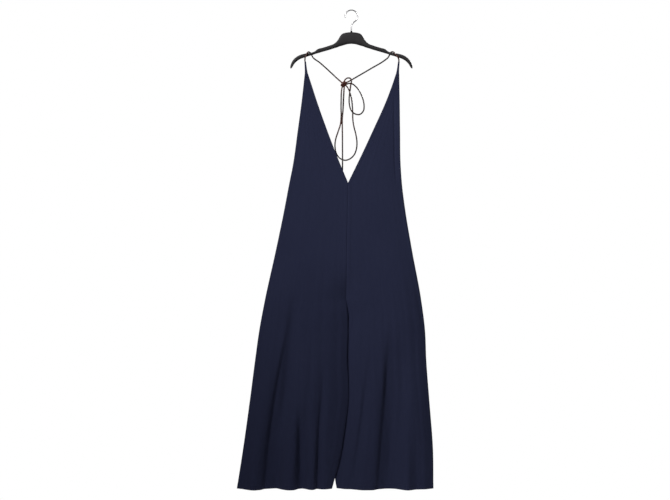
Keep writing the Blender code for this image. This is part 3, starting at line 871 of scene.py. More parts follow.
LegPoint = namedtuple("LegPoint", "drop right left stagger")
INSEAMS = (
    LegPoint(1.013, -0.0185, -0.0185, 0.0000),
    LegPoint(1.050, -0.0145, -0.0145, 0.0042),
    LegPoint(1.118, -0.0130, -0.0178, 0.0048),
    LegPoint(1.209, -0.0154, -0.0205, 0.0060),
    LegPoint(1.359, -0.0108, -0.0156, 0.0040),
    LegPoint(1.457, -0.0232, -0.0282, 0.0062),
    LegPoint(1.573, -0.0424, -0.0468, 0.0062),
    LegPoint(1.633, -0.0574, -0.0574, 0.0050),
    LegPoint(1.672, -0.0683, -0.0512, 0.0042),
)

print("panels from", TIP_DROP, "to", HEM_DROP, "m below the hook's inner crown")

# %% [markdown]
# ### Folds and creases
# Loose crepe falls in a few deep folds that widen to the hem, with sharper creases
# between them. Each is a trough or a ridge down its own line: a bell across, wider on
# one side where the cloth leans. They are chosen one by one because no two of them are
# alike. Long faint waves keep the cloth between them from looking ironed.

# %% folds
# height is below zero for a trough and above zero for a ridge; near and far are the
# widths on the -X and +X sides. These are the largest folds, which the solids have too.
Fold = namedtuple("Fold", "start x_start x_foot bow height near far")
FOLDS = {
    "front_right": (
        Fold(1.140, -0.184, -0.265, -0.018, -0.0270, 0.045, 0.030),
        Fold(1.330, -0.160, -0.168, 0.000, -0.0200, 0.030, 0.020),
        Fold(1.107, -0.080, -0.115, -0.010, -0.0100, 0.016, 0.018),
        Fold(1.150, -0.270, -0.343, -0.012, 0.0090, 0.034, 0.022),
    ),
    "front_left": (
        Fold(1.080, 0.174, 0.146, 0.004, -0.0240, 0.058, 0.034),
        Fold(1.156, 0.074, -0.002, 0.005, -0.0060, 0.016, 0.022),
        Fold(1.300, 0.175, 0.193, 0.000, 0.0070, 0.030, 0.018),
        Fold(1.340, 0.205, 0.226, 0.004, -0.0070, 0.018, 0.022),
    ),
    "back_right": (
        Fold(1.090, -0.120, -0.160, -0.010, -0.0130, 0.040, 0.022),
        Fold(1.220, -0.225, -0.268, -0.004, -0.0100, 0.024, 0.020),
        Fold(1.160, -0.270, -0.335, -0.006, 0.0080, 0.026, 0.028),
    ),
    "back_left": (
        Fold(1.060, 0.060, 0.034, 0.006, -0.0120, 0.022, 0.036),
        Fold(1.260, 0.132, 0.128, 0.003, 0.0080, 0.024, 0.020),
        Fold(1.180, 0.178, 0.202, 0.004, -0.0110, 0.020, 0.028),
    ),
}
SEAM_EASE = 0.14                   # share of the width over which a fold dies at a seam


def line_bell(row, foot, x, drop):
    """A bell across the line that a fold follows from its start to its foot.

    With t from 0 to 1 on the way down, the line is x_start + (x_foot - x_start) * t +
    bow * 4 * t * (1 - t).
    """
    t = np.clip((drop - row.start) / (foot - row.start), 0.0, 1.0)
    line = row.x_start + (row.x_foot - row.x_start) * t + row.bow * 4 * t * (1 - t)
    offset = x - line
    return bell(offset, np.where(offset < 0, row.near, row.far))


def fold_height(panel, x, drop):
    """Sum of a panel's folds, each growing down to the hem."""
    total = np.zeros_like(x)
    for fold in FOLDS[panel]:
        grown = ramp((drop - fold.start) / (HEM_DROP - fold.start))
        total += fold.height * grown * line_bell(fold, HEM_DROP, x, drop)
    return total


print("folds:", sum(len(rows) for rows in FOLDS.values()))

# %% creases
# Creases are sharper and shorter: each swells in from start to full and fades out
# from fade to foot. One whose foot lies below the hem runs off it.
Crease = namedtuple("Crease", "start full fade foot x_start x_foot bow height near far")
CREASES = {
    "front_right": (
        Crease(1.06, 1.30, 1.90, 1.95, -0.206, -0.318, -0.0235, -0.0130, 0.0095, 0.070),
        Crease(0.97, 1.10, 1.34, 1.50, -0.197, -0.243, 0.000, -0.0070, 0.014, 0.024),
        Crease(1.36, 1.50, 1.90, 1.95, -0.177, -0.193, 0.000, -0.0165, 0.0095, 0.034),
        Crease(1.20, 1.60, 1.90, 1.95, -0.089, -0.127, -0.010, -0.0110, 0.0065, 0.009),
        Crease(1.12, 1.22, 1.30, 1.44, -0.136, -0.154, 0.000, -0.0020, 0.010, 0.014),
        Crease(1.48, 1.60, 1.90, 1.95, -0.258, -0.266, 0.000, -0.0030, 0.007, 0.010),
        Crease(1.30, 1.42, 1.50, 1.60, -0.154, -0.166, 0.000, -0.0018, 0.006, 0.008),
    ),
    "front_left": (
        Crease(1.08, 1.34, 1.90, 1.95, 0.138, 0.068, 0.004, -0.0145, 0.011, 0.080),
        Crease(1.12, 1.36, 1.50, 1.74, 0.074, -0.010, 0.005, -0.0040, 0.009, 0.014),
        Crease(1.38, 1.50, 1.56, 1.68, 0.140, 0.128, 0.000, -0.0020, 0.006, 0.008),
        Crease(1.30, 1.40, 1.48, 1.58, 0.158, 0.152, 0.000, 0.0016, 0.008, 0.007),
        Crease(0.92, 1.02, 1.08, 1.16, 0.214, 0.258, 0.003, -0.0018, 0.006, 0.008),
        Crease(1.03, 1.09, 1.12, 1.20, 0.014, -0.006, 0.000, -0.0022, 0.007, 0.012),
    ),
    "back_right": (
        Crease(1.10, 1.32, 1.90, 1.95, -0.168, -0.216, -0.008, -0.0070, 0.012, 0.030),
        Crease(1.24, 1.40, 1.90, 1.95, -0.110, -0.122, -0.004, -0.0045, 0.009, 0.016),
        Crease(1.04, 1.14, 1.30, 1.44, -0.238, -0.282, 0.000, -0.0026, 0.008, 0.014),
        Crease(1.46, 1.58, 1.90, 1.95, -0.300, -0.318, 0.000, -0.0035, 0.010, 0.008),
        Crease(0.96, 1.04, 1.10, 1.22, -0.070, -0.088, 0.003, -0.0018, 0.007, 0.010),
    ),
    "back_left": (
        Crease(1.14, 1.36, 1.90, 1.95, 0.104, 0.082, 0.005, -0.0065, 0.022, 0.010),
        Crease(1.02, 1.12, 1.34, 1.50, 0.196, 0.222, 0.002, -0.0028, 0.013, 0.008),
        Crease(1.40, 1.54, 1.90, 1.95, 0.158, 0.164, 0.000, -0.0050, 0.010, 0.018),
        Crease(1.22, 1.32, 1.42, 1.54, 0.020, 0.006, 0.000, -0.0020, 0.007, 0.009),
    ),
}


def crease_height(panel, x, drop):
    """Sum of a panel's creases, each swelling in and fading down its line."""
    total = np.zeros_like(x)
    for crease in CREASES[panel]:
        swell_in = ramp((drop - crease.start) / (crease.full - crease.start))
        fade_out = 1 - ramp((drop - crease.fade) / (crease.foot - crease.fade))
        total += crease.height * swell_in * fade_out * line_bell(crease, crease.foot, x, drop)
    return total


print("creases:", sum(len(rows) for rows in CREASES.values()))

# %% waves
# Long soft waves that fan out down a panel: count is how many lie across it.
Wave = namedtuple("Wave", "count height shift wander")
WAVES = (
    Wave(6.3, 0.00080, 0.4, 0.9),
    Wave(10.7, 0.00050, 2.1, 1.3),
    Wave(17.9, 0.00022, 4.4, 1.9),
)
SWAY = 3.1                         # radians a metre down the panel
PATCH_DOWN = 5.3
PATCH_ACROSS = 7.0                 # radians over the panel's width
WAVE_IN_BODY = 0.15                # height above the legs, as a share of the height in them
WAVE_RISE = 0.60
WAVE_SHIFT = {"front_right": 0.0, "front_left": 1.7, "back_right": 3.1, "back_left": 4.6}


def wave_height(panel, drop, across):
    """Sum of sines across the panel whose phase sways and whose height comes and goes."""
    own = WAVE_SHIFT[panel]
    total = np.zeros_like(across)
    for wave in WAVES:
        sway = wave.wander * np.sin(SWAY * drop + 2 * wave.shift + own)
        patch = 0.6 + 0.4 * np.sin(PATCH_DOWN * drop + PATCH_ACROSS * across + wave.shift + own)
        phase = 2 * math.pi * wave.count * across + wave.shift + own + sway
        total += wave.height * patch * np.sin(phase)
    return total * (WAVE_IN_BODY + (1 - WAVE_IN_BODY) * ramp((drop - RISE_DROP) / WAVE_RISE))


print("waves across a panel:", len(WAVES))

# %% [markdown]
# ### Edges and seams
# Along a seam the two allowances lie pressed open underneath, so a flat band stands
# proud by less than half a millimetre on each side of a narrow dip. At the armhole and
# neckline the cloth is turned in once and stitched. A bump map could draw both, but real
# height also catches the light at the outline.

# %% edges and seams
SHELL = 0.0011                     # thickness of the cloth
EDGE_TURN = 0.0085                 # width of the turned edges
EDGE_EXTRA = 0.0006                # how much thicker a turned edge is
HEM_TURN = 0.0200
ALLOWANCE = 0.0105                 # width of a pressed-open seam allowance
ALLOWANCE_RISE = 0.00045
SEAM_WIDTH = 0.0018
CENTRE_DIP = 0.0011
SIDE_DIP = GAP / 2 + CLOTH_WALL / 2 - SHELL / 2
PUCKER_LENGTH = 0.027
PUCKER_HEIGHT = 0.00022
CREASE_EASE = 0.035                # share of the width over which a crease dies at a seam
CENTRE_FADE = 0.14                 # drop over which the centre dip turns into a side dip
ROLL_WIDTH = 0.0200                # strip along the left armhole that rolls forward
ROLL_START = 0.285
ROLL_END = 0.628
BAND_FADE = 0.0018                 # width over which an allowance's band ends
PUCKER_REACH = 0.014               # how far a pucker reaches from its seam
PUCKER_CLEAR = 0.003               # flat strip between the seam and its puckers
SEWN_FROM = 0.010                  # drop over which a seam's relief begins
ROLL_CREASE = 0.0016
ROLL_CREASE_WIDTH = 0.0032
ROLL_RISE = 0.0026
ROLL_SWELL = 0.06
ROLL_FADE = 0.08


def centre_line(drop):
    """x of the centre seam: a straight line from the foot of the V to the crotch."""
    share = (drop - V_DROP) / (CROTCH_DROP - V_DROP)
    return CENTRE_AT_V + (CENTRE_AT_CROTCH - CENTRE_AT_V) * share


def inner_edge(side, drop):
    """x of a panel's inner edge: neckline, then centre seam, then inseam."""
    neck = read_table(NECKLINE, side, drop)
    leg = read_table(INSEAMS, side, drop)
    return np.where(drop < V_DROP, neck, np.where(drop < CROTCH_DROP, centre_line(drop), leg))


def band_height(distance, dip):
    """A seam seen across: a narrow dip at the edge and a low flat band beside it."""
    band = ALLOWANCE_RISE * (1 - ramp((distance - ALLOWANCE) / BAND_FADE))
    return band - (dip + ALLOWANCE_RISE) * bell(distance, SEAM_WIDTH)


def seam_height(panel, drop, across, width):
    """Bands and dips of a panel's seams, with a slight pucker along each."""
    inner = np.abs(across * width)
    outer = np.abs((1 - across) * width)
    sewn_inner = ramp((drop - V_DROP) / SEWN_FROM) if panel.startswith("front") else 1.0
    sewn_outer = ramp((drop - UNDERARM_DROP) / SEWN_FROM)
    centre_dip = CENTRE_DIP + (SIDE_DIP - CENTRE_DIP) * ramp((drop - RISE_DROP) / CENTRE_FADE)
    total = sewn_inner * band_height(inner, centre_dip) + sewn_outer * band_height(outer, SIDE_DIP)
    near_seam = bell(inner, PUCKER_REACH) + bell(outer, PUCKER_REACH)
    away = 1 - bell(inner, PUCKER_CLEAR) - bell(outer, PUCKER_CLEAR)
    ripple = np.sin(2 * math.pi * drop / PUCKER_LENGTH + 2.0 * np.sin(9.0 * drop))
    return total + PUCKER_HEIGHT * ripple * near_seam * np.clip(away, 0.0, 1.0)


def armhole_roll(panel, drop, across, width):
    """The strip outside a long crease beside the left armhole stands forward."""
    if panel != "front_left":
        return np.zeros_like(across)
    inward = np.abs((1 - across) * width)
    ended = ramp((drop - ROLL_END + ROLL_FADE) / ROLL_FADE)
    along = ramp((drop - ROLL_START) / ROLL_SWELL) * (1 - ended)
    crease = -ROLL_CREASE * bell(inward - ROLL_WIDTH, ROLL_CREASE_WIDTH)
    return (crease + ROLL_RISE * ramp((ROLL_WIDTH - inward) / ROLL_WIDTH)) * along


print("seam allowance", ALLOWANCE, "m wide, turned edges", EDGE_TURN, "m")

# %% panel surface
def panel_points(panel, drop, across):
    """Middle surface of a panel at each drop and share of its width.

    The section is a flattened lens, swell * (1 - abs(place)**SECTION_POWER[face]). In
    the body place is across. In a leg it runs from 1 at the inseam to -1 at the side.
    opened blends the two over the crotch curve. Folds, creases, waves and seams are
    added to that depth.
    """
    face, side = panel.split("_")
    opened = ramp((drop - RISE_DROP) / (CROTCH_DROP - RISE_DROP))
    place = opened - across * (1 + opened)
    inner = inner_edge(side, drop)
    outer = read_table(SECTIONS, side, drop)
    width = outer - inner
    x = inner + width * across
    swell = read_table(SECTIONS, face, drop) * (1 - np.abs(place) ** SECTION_POWER[face])
    ease = ramp(across / SEAM_EASE) * ramp((1 - across) / SEAM_EASE)
    crease_ease = ramp(across / CREASE_EASE) * ramp((1 - across) / CREASE_EASE)
    relief = fold_height(panel, x, drop) * ease
    relief = relief + (crease_height(panel, x, drop) + wave_height(panel, drop, across)) * crease_ease
    relief = relief + armhole_roll(panel, drop, across, width)
    hollow = np.maximum(swell + relief, -0.0002) + seam_height(panel, drop, across, width)
    depth = GAP / 2 + CLOTH_WALL / 2 + hollow
    stagger = np.where(drop < CROTCH_DROP, 0.0, read_table(INSEAMS, "stagger", drop))
    lean = stagger * (1 - across) ** 2 * (-1.0 if side == "right" else 1.0)
    if face == "front":
        y = lean - depth - read_table(SECTIONS, "setback", drop)
    else:
        y = lean + depth
    return np.stack([x, y, -drop], axis=-1)


def outward_normals(panel, over, down):
    """Unit normals of two directions along a panel, pointing away from the wearer."""
    normals = unit(np.cross(over, down))
    away = -1.0 if panel.startswith("front") else 1.0
    return normals * np.sign(normals[..., 1:2]) * away


def panel_surface(panel, drop, across):
    """Middle surface and unit outward normal at single places of a panel."""
    middle = panel_points(panel, drop, across)
    down = panel_points(panel, drop + 0.0006, across) - middle
    beyond = np.minimum(across + 0.001, 1.0)
    over = panel_points(panel, drop, beyond) - panel_points(panel, drop, beyond - 0.002)
    return middle, outward_normals(panel, over, down)


hems = [panel_points(panel, np.array([HEM_DROP]), np.array([1.0]))[0] for panel in FOLDS]
print("outer ends of the hems at x =", [round(float(hem[0]), 3) for hem in hems])

# %% [markdown]
# ### Panels
# The grid of a panel follows its cut: rows at equal drops, and columns crowded towards
# the edges, where turned edges and seams need the points. A Solidify modifier could
# thicken it. Skins moved out and in along the normals were chosen instead, because the
# turned edges are thicker than the rest.

# %% panels
ROW_STEP = 0.0062
COLUMN_COUNT = 140
CROWDING = 0.60                    # how much closer columns lie at the two edges
TURN_STEP = 0.0009                 # width over which a turned edge gets thin again
NECK_SLANT = 0.93                  # distance square to the neckline over the level one


def panel_columns():
    """Shares of the width: even steps drawn towards both edges by a sine."""
    even = np.linspace(0.0, 1.0, COLUMN_COUNT + 1)
    return even - CROWDING * np.sin(2 * math.pi * even) / (2 * math.pi)


def panel_drops(panel, across):
    """Drops of a panel's grid, with rows kept on the foot of the V and the crotch."""
    hem_marks = (HEM_DROP - HEM_TURN - 0.0008, HEM_DROP - HEM_TURN + 0.0008, HEM_DROP)
    if panel.startswith("front"):
        marks = (TIP_DROP, UNDERARM_DROP, V_DROP, RISE_DROP, CROTCH_DROP, *hem_marks)
    else:
        turn = UNDERARM_DROP + EDGE_TURN
        marks = (UNDERARM_DROP, turn - 0.0006, turn + 0.0006, RISE_DROP, CROTCH_DROP, *hem_marks)
    rows = [np.array([marks[0]])]
    for above, below in zip(marks, marks[1:]):
        count = int(math.ceil((below - above) / ROW_STEP))
        rows.append(np.linspace(above, below, count + 1)[1:])
    drops = np.tile(np.concatenate(rows)[:, None], (1, len(across)))
    if panel.startswith("front"):
        return drops
    fall = (BACK_DROP - UNDERARM_DROP) * (1 - across ** 2)
    left = 1 - ramp((drops - UNDERARM_DROP - 0.010) / (RISE_DROP - UNDERARM_DROP - 0.010))
    return drops + fall[None, :] * left


def edge_distance(panel, points, drop, across):
    """Distance from each point to the panel's nearest turned edge."""
    width = np.abs(points[:, -1:, 0] - points[:, :1, 0])
    hem = (HEM_DROP - drop) * EDGE_TURN / HEM_TURN
    if panel.startswith("front"):
        neck = np.where(drop < V_DROP, across * width * NECK_SLANT, 1.0)
        arm = np.where(drop < UNDERARM_DROP, (1 - across) * width, 1.0)
        return np.minimum(np.minimum(neck, arm), hem)
    return np.minimum(drop - drop[:1], hem)


def shell_arrays(middle, normals, half):
    """Outer and inner skins of a grid, joined round the rim."""
    rows, columns = middle.shape[:2]
    count = rows * columns
    out = normals * half[..., None]
    points = np.concatenate([(middle + out).reshape(-1, 3), (middle - out).reshape(-1, 3)])
    index = np.arange(count).reshape(rows, columns)
    rim = np.concatenate([index[0, :-1], index[:-1, -1], index[-1, :0:-1], index[:0:-1, 0]])
    after = np.roll(rim, -1)
    edge = np.stack([after, rim, rim + count, after + count], axis=-1)
    inside = grid_faces(rows, columns, count)[:, ::-1]
    return points, np.concatenate([grid_faces(rows, columns), inside, edge])


def add_panel(panel):
    """One panel as a thin shell in place of its solid."""
    columns = panel_columns()
    drop = panel_drops(panel, columns)
    across = np.tile(columns, (len(drop), 1))
    middle = panel_points(panel, drop, across)
    normals = outward_normals(panel, np.gradient(middle, axis=1), np.gradient(middle, axis=0))
    turned = ramp((EDGE_TURN - edge_distance(panel, middle, drop, across)) / TURN_STEP)
    points, faces = shell_arrays(middle, normals, SHELL / 2 + EDGE_EXTRA / 2 * turned)
    flat = np.stack([middle[..., 0], -drop], axis=-1).reshape(-1, 2)
    cut = np.concatenate([flat, flat])
    piece = add_piece("cloth_" + panel, points, faces, navy, cut, sharp=62.0)
    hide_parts(panel)
    return piece


PanelCut = namedtuple("PanelCut", "panel width length area")
CUTS = (
    PanelCut("front_right", 0.42, 1.46, 0.37),
    PanelCut("front_left", 0.42, 1.46, 0.35),
    PanelCut("back_right", 0.42, 1.13, 0.33),
    PanelCut("back_left", 0.42, 1.13, 0.31),
)
for panel_cut in CUTS:
    cloth = add_panel(panel_cut.panel)
    print(cloth.name, len(cloth.data.polygons), "faces")

# %% [markdown]
# ### Stitching
# A lockstitch shows as a row of short thread lengths, each rising from one needle hole
# and sinking into the next. A dashed line in the material could hint at it, but would
# lie flat. So one small closed tube is worked out for all the stitches of a row at
# once: its middle line is a half sine above the cloth, and its radius is nearly even.

# %% stitches
THREAD_RADIUS = 0.00024
STITCH_PITCH = 0.0032
STITCH_LENGTH = 0.0026
STITCH_RINGS = 5
STITCH_SIDES = 6


def stitch_arrays(starts, ends, normals, lift):
    """Capped tubes from starts to ends.

    With t from 0 to 1 along a stitch and s = sin(pi * t), the middle line lies lift +
    thread radius * (1.5 * s - 0.9) above the cloth, and the tube's radius is thread
    radius * (0.55 + 0.45 * s).
    """
    t = np.linspace(0.0, 1.0, STITCH_RINGS)
    along = unit(ends - starts)
    beside = unit(np.cross(along, normals))
    above = np.cross(beside, along)
    rise = lift + THREAD_RADIUS * (1.5 * np.sin(math.pi * t) - 0.9)
    line = starts[:, None] + (ends - starts)[:, None] * t[None, :, None]
    line = line + above[:, None] * rise[None, :, None]
    radius = THREAD_RADIUS * (0.55 + 0.45 * np.sin(math.pi * t))
    turn = full_turn(STITCH_SIDES)
    around = np.cos(turn)[:, None] * beside[:, None] + np.sin(turn)[:, None] * above[:, None]
    points = line[:, :, None] + radius[None, :, None, None] * around[:, None]
    count = STITCH_RINGS * STITCH_SIDES
    side = grid_faces(STITCH_RINGS, STITCH_SIDES, 0, around=True)[:, ::-1]
    near = np.array([(0, k, k + 1, k + 2) for k in range(1, STITCH_SIDES - 1, 2)])
    first = np.concatenate([side, near, near[:, ::-1] + count - STITCH_SIDES])
    faces = first[None] + (np.arange(len(starts)) * count)[:, None, None]
    return points.reshape(-1, 3), faces.reshape(-1, 4)


def stitches_along(panel, drop, across):
    """Starts, ends and normals of the stitches of a row over a panel."""
    middle, normal = panel_surface(panel, drop, across)
    run = run_length(middle)
    starts_at = np.arange(STITCH_PITCH * 0.5, run[-1] - STITCH_LENGTH, STITCH_PITCH)
    facing = unit(read_path(run, normal, starts_at + STITCH_LENGTH / 2))
    ends = read_path(run, middle, starts_at + STITCH_LENGTH)
    return read_path(run, middle, starts_at), ends, facing


print("points of a stitch:", STITCH_RINGS * STITCH_SIDES)

# %% stitch rows
EDGE_STITCH = 0.0068               # distance of a row from its edge
HEM_STITCH = 0.0178


def inset_share(panel, drop, inset, from_outer=False):
    """Share of the width at a distance in from a panel's inner or outer edge."""
    side = panel.split("_")[1]
    width = np.abs(read_table(SECTIONS, side, drop) - inner_edge(side, drop))
    share = np.clip(inset / width, 0.02, 0.98)
    return 1 - share if from_outer else share


def stitch_rows(panel):
    """Each row of a panel as its drops and shares of the width."""
    side = np.linspace(0.004, 0.996, 700)
    hem = np.full_like(side, HEM_DROP - HEM_STITCH)
    rows = [(hem, side)]
    if panel.startswith("front"):
        neck = np.linspace(TIP_DROP + 0.022, V_DROP - 0.016, 900)
        arm = np.linspace(TIP_DROP + 0.022, UNDERARM_DROP - 0.004, 800)
        rows.append((neck, inset_share(panel, neck, EDGE_STITCH / NECK_SLANT)))
        rows.append((arm, inset_share(panel, arm, EDGE_STITCH, from_outer=True)))
    else:
        edge = UNDERARM_DROP + (BACK_DROP - UNDERARM_DROP) * (1 - side ** 2)
        rows.append((edge + EDGE_STITCH, side))
    return rows


def add_stitching(panel):
    """All the stitch rows of one panel as one piece."""
    rows = [stitches_along(panel, drop, across) for drop, across in stitch_rows(panel)]
    starts, ends, normals = (np.concatenate(arrays) for arrays in zip(*rows))
    points, faces = stitch_arrays(starts, ends, normals, SHELL / 2 + EDGE_EXTRA / 2)
    return add_piece("stitching_" + panel, points, faces, thread, points[:, [0, 2]])


for panel_cut in CUTS:
    stitching = add_stitching(panel_cut.panel)
    print(stitching.name, len(stitching.data.polygons), "faces")

# %% [markdown]
# ### Seam allowance
# Behind the centre front seam the two allowances lie open. They show above the low
# back edge, and they close the seam against the light. Two strips could be made, but
# one ribbon with a gully down its middle looks the same and leaves no gap.

# %% seam allowance
ALLOWANCE_ENDS = (V_DROP + 0.004, 1.000)
ALLOWANCE_GRID = (90, 15)
ALLOWANCE_BACK = SHELL * 1.05      # how far behind the seam the ribbon's middle lies
ALLOWANCE_HALF = SHELL * 0.42
GULLY_DEPTH = 0.0006
GULLY_WIDTH = 0.0012
FLUTTER = 0.0002                   # how far the ribbon's free edges wander
FLUTTER_RATE = 160                 # radians a metre


def add_allowance():
    """Two pressed-open strips behind the centre front seam, as one closed ribbon."""
    offset = np.linspace(-ALLOWANCE, ALLOWANCE, ALLOWANCE_GRID[1])
    drop = np.tile(np.linspace(*ALLOWANCE_ENDS, ALLOWANCE_GRID[0])[:, None], (1, len(offset)))
    swell = read_table(SECTIONS, "front", drop)
    opened = ramp((drop - RISE_DROP) / (CROTCH_DROP - RISE_DROP))
    depth = GAP / 2 + CLOTH_WALL / 2 + swell * (1 - opened ** SECTION_POWER["front"])
    flutter = FLUTTER * np.sin(drop * FLUTTER_RATE) * np.abs(offset) / ALLOWANCE
    y = -depth + ALLOWANCE_BACK + flutter - GULLY_DEPTH * bell(offset, GULLY_WIDTH)
    middle = np.stack([centre_line(drop) + offset, y, -drop], axis=-1)
    normals = np.zeros_like(middle)
    normals[..., 1] = 1.0
    points, faces = shell_arrays(middle, normals, np.full(drop.shape, ALLOWANCE_HALF))
    flat = np.concatenate([middle[..., [0, 2]].reshape(-1, 2)] * 2)
    return add_piece("seam_allowance", points, faces, navy, flat)


allowance = add_allowance()
print(allowance.name, len(allowance.data.polygons), "faces")

# %% [markdown]
# ### Straps
# Each shoulder point runs into a narrow folded strap that holds the end of the cord. A
# folded strip could be modelled, but its layers are pressed together and hidden. So a
# strap is a rounded section carried up a straight line: it lies flat over the point of
# the panel and is nearly round where it grips the cord.

# %% straps
StrapRib = namedtuple("StrapRib", "drop half_width half_thick")
STRAP_RIBS = (
    StrapRib(0.1802, 0.0025, 0.0024),
    StrapRib(0.1815, 0.0029, 0.0028),
    StrapRib(0.1850, 0.0030, 0.0028),
    StrapRib(0.1930, 0.0033, 0.0024),
    StrapRib(0.2060, 0.0039, 0.0018),
    StrapRib(0.2220, 0.0052, 0.0015),
    StrapRib(0.2400, 0.0054, 0.0013),
    StrapRib(0.2440, 0.0050, 0.0011),
)
StrapEnds = namedtuple("StrapEnds", "side x_top x_foot")
STRAPS = (StrapEnds("right", -0.1614, -0.1577), StrapEnds("left", 0.1655, 0.1613))
STRAP_Y = -0.0072
STRAP_SIDES = 28
STRAP_STATIONS = 64
STRAP_TOP = 0.1815
STRAP_SQUARE = 0.80                # 1 is a round section, less is squarer
FOLD_LINE = 0.16                   # depth as a share of the thickness, width in radians
RUCK = 0.035                       # how far the cloth bunches where it grips the cord
RUCK_RATE = 1900                   # radians a metre
RUCK_FROM = 0.196
RUCK_SWELL = 0.01
STRAP_WRAP = 0.003                 # metres of flat map for a radian round a strap


def strap_middle(strap, drop):
    """x and y of a strap's middle line at each drop."""
    share = (drop - STRAP_TOP) / (TIP_DROP - STRAP_TOP)
    x = strap.x_top + (strap.x_foot - strap.x_top) * share
    return x, STRAP_Y - 0.0006 * ramp((drop - 0.205) / 0.02)


def squarer(values, power):
    """Sines or cosines pushed out towards a box: sign(v) * abs(v)**power."""
    return np.sign(values) * np.abs(values) ** power


def add_strap(strap):
    """A strap lofted through its ribs, with a shallow fold line down its back."""
    drop = np.linspace(STRAP_RIBS[-1].drop, STRAP_RIBS[0].drop, STRAP_STATIONS)[:, None]
    turn = full_turn(STRAP_SIDES)
    fold = 1 - FOLD_LINE * bell(turn - math.pi / 2, FOLD_LINE)
    bunch = RUCK * np.sin(drop * RUCK_RATE + 2 * np.cos(turn))
    ruck = 1 + bunch * ramp((RUCK_FROM - drop) / RUCK_SWELL)
    side = read_table(STRAP_RIBS, "half_width", drop) * squarer(np.cos(turn), STRAP_SQUARE) * ruck
    rise = read_table(STRAP_RIBS, "half_thick", drop) * squarer(np.sin(turn), STRAP_SQUARE) * fold * ruck
    x, y = strap_middle(strap, drop)
    points = np.stack(np.broadcast_arrays(x + side, y + rise, -drop), axis=-1)
    cut = np.stack(np.broadcast_arrays(turn * STRAP_WRAP, drop), axis=-1)
    faces = tube_faces(len(drop), STRAP_SIDES)
    piece = add_piece("cloth_strap_" + strap.side, points, faces, navy, cut, sharp=62.0)
    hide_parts("strap_" + strap.side)
    return piece


print("ribs of a strap:", len(STRAP_RIBS))

# %% bar tacks
TACK_TOPS = (0.1836, 0.2330)       # over the cord's end and at the panel's point
TACK_COUNT = 9
TACK_STEP = 0.00055
TACK_SINK = 0.86                   # height of a tack on the strap's half thickness
TACK_REACH = 0.72                  # half its length over the strap's half width


def add_tacks(strap):
    """Two bar tacks on a strap: close level stitches, over the cord and at the point."""
    rows = np.concatenate([top + TACK_STEP * np.arange(TACK_COUNT) for top in TACK_TOPS])
    x, y = strap_middle(strap, rows)
    face = y - read_table(STRAP_RIBS, "half_thick", rows) * TACK_SINK
    reach = read_table(STRAP_RIBS, "half_width", rows) * TACK_REACH
    starts = np.stack([x - reach, face, -rows], axis=-1)
    ends = np.stack([x + reach, face, -rows - TACK_STEP * 0.5], axis=-1)
    normals = np.tile(np.array((0.0, -1.0, 0.0)), (len(rows), 1))
    points, faces = stitch_arrays(starts, ends, normals, THREAD_RADIUS * 1.3)
    return add_piece("bar_tacks_" + strap.side, points, faces, thread, points[:, [0, 2]])


for strap_ends in STRAPS:
    add_strap(strap_ends)
    add_tacks(strap_ends)
print("straps:", ", ".join(strap_ends.side for strap_ends in STRAPS))

# %% [markdown]
# ## The hanger
# A flat moulded arm on each side of a raised middle. It could be drawn as an outline and
# given a thickness, but moulded arms are rounder than that. So upright sections, each a
# rounded box, are drawn from the same short table as the solid and read as smooth
# curves. A fine flash line from the mould runs round its outline.

# %% hanger
Rib = namedtuple("Rib", "out top foot half_depth")
HANGER_RIBS = (
    Rib(0.0000, 0.0756, 0.1162, 0.0050),
    Rib(0.0120, 0.0764, 0.1172, 0.0050),
    Rib(0.0245, 0.0786, 0.1204, 0.0050),
    Rib(0.0326, 0.0819, 0.1229, 0.0051),
    Rib(0.0396, 0.0896, 0.1246, 0.0052),
    Rib(0.0466, 0.1019, 0.1274, 0.0054),
    Rib(0.0536, 0.1103, 0.1299, 0.0056),
    Rib(0.0606, 0.1162, 0.1318, 0.0058),
    Rib(0.0746, 0.1218, 0.1365, 0.0060),
    Rib(0.1026, 0.1306, 0.1446, 0.0060),
    Rib(0.1190, 0.1355, 0.1495, 0.0060),
    Rib(0.1278, 0.1425, 0.1520, 0.0056),
    Rib(0.1365, 0.1463, 0.1554, 0.0054),
    Rib(0.1505, 0.1488, 0.1593, 0.0054),
    Rib(0.1645, 0.1512, 0.1642, 0.0056),
    Rib(0.1785, 0.1551, 0.1692, 0.0060),
    Rib(0.1925, 0.1624, 0.1785, 0.0060),
    Rib(0.2013, 0.1701, 0.1883, 0.0058),
    Rib(0.2083, 0.1799, 0.2000, 0.0054),
    Rib(0.2138, 0.1930, 0.2037, 0.0042),
)
HANGER_SIDES = 36
HANGER_STATIONS = 110
HANGER_SQUARENESS = 0.66
FLASH = 0.00022
FLASH_WIDTH = 0.10                 # as a cosine of the turn from the outline
TIP_FROM = 0.0016                  # how far before its end an arm begins to round off
TIP_LENGTH = 0.0018
TIP_LEAST = 0.05                   # least square of a section's share of its full size


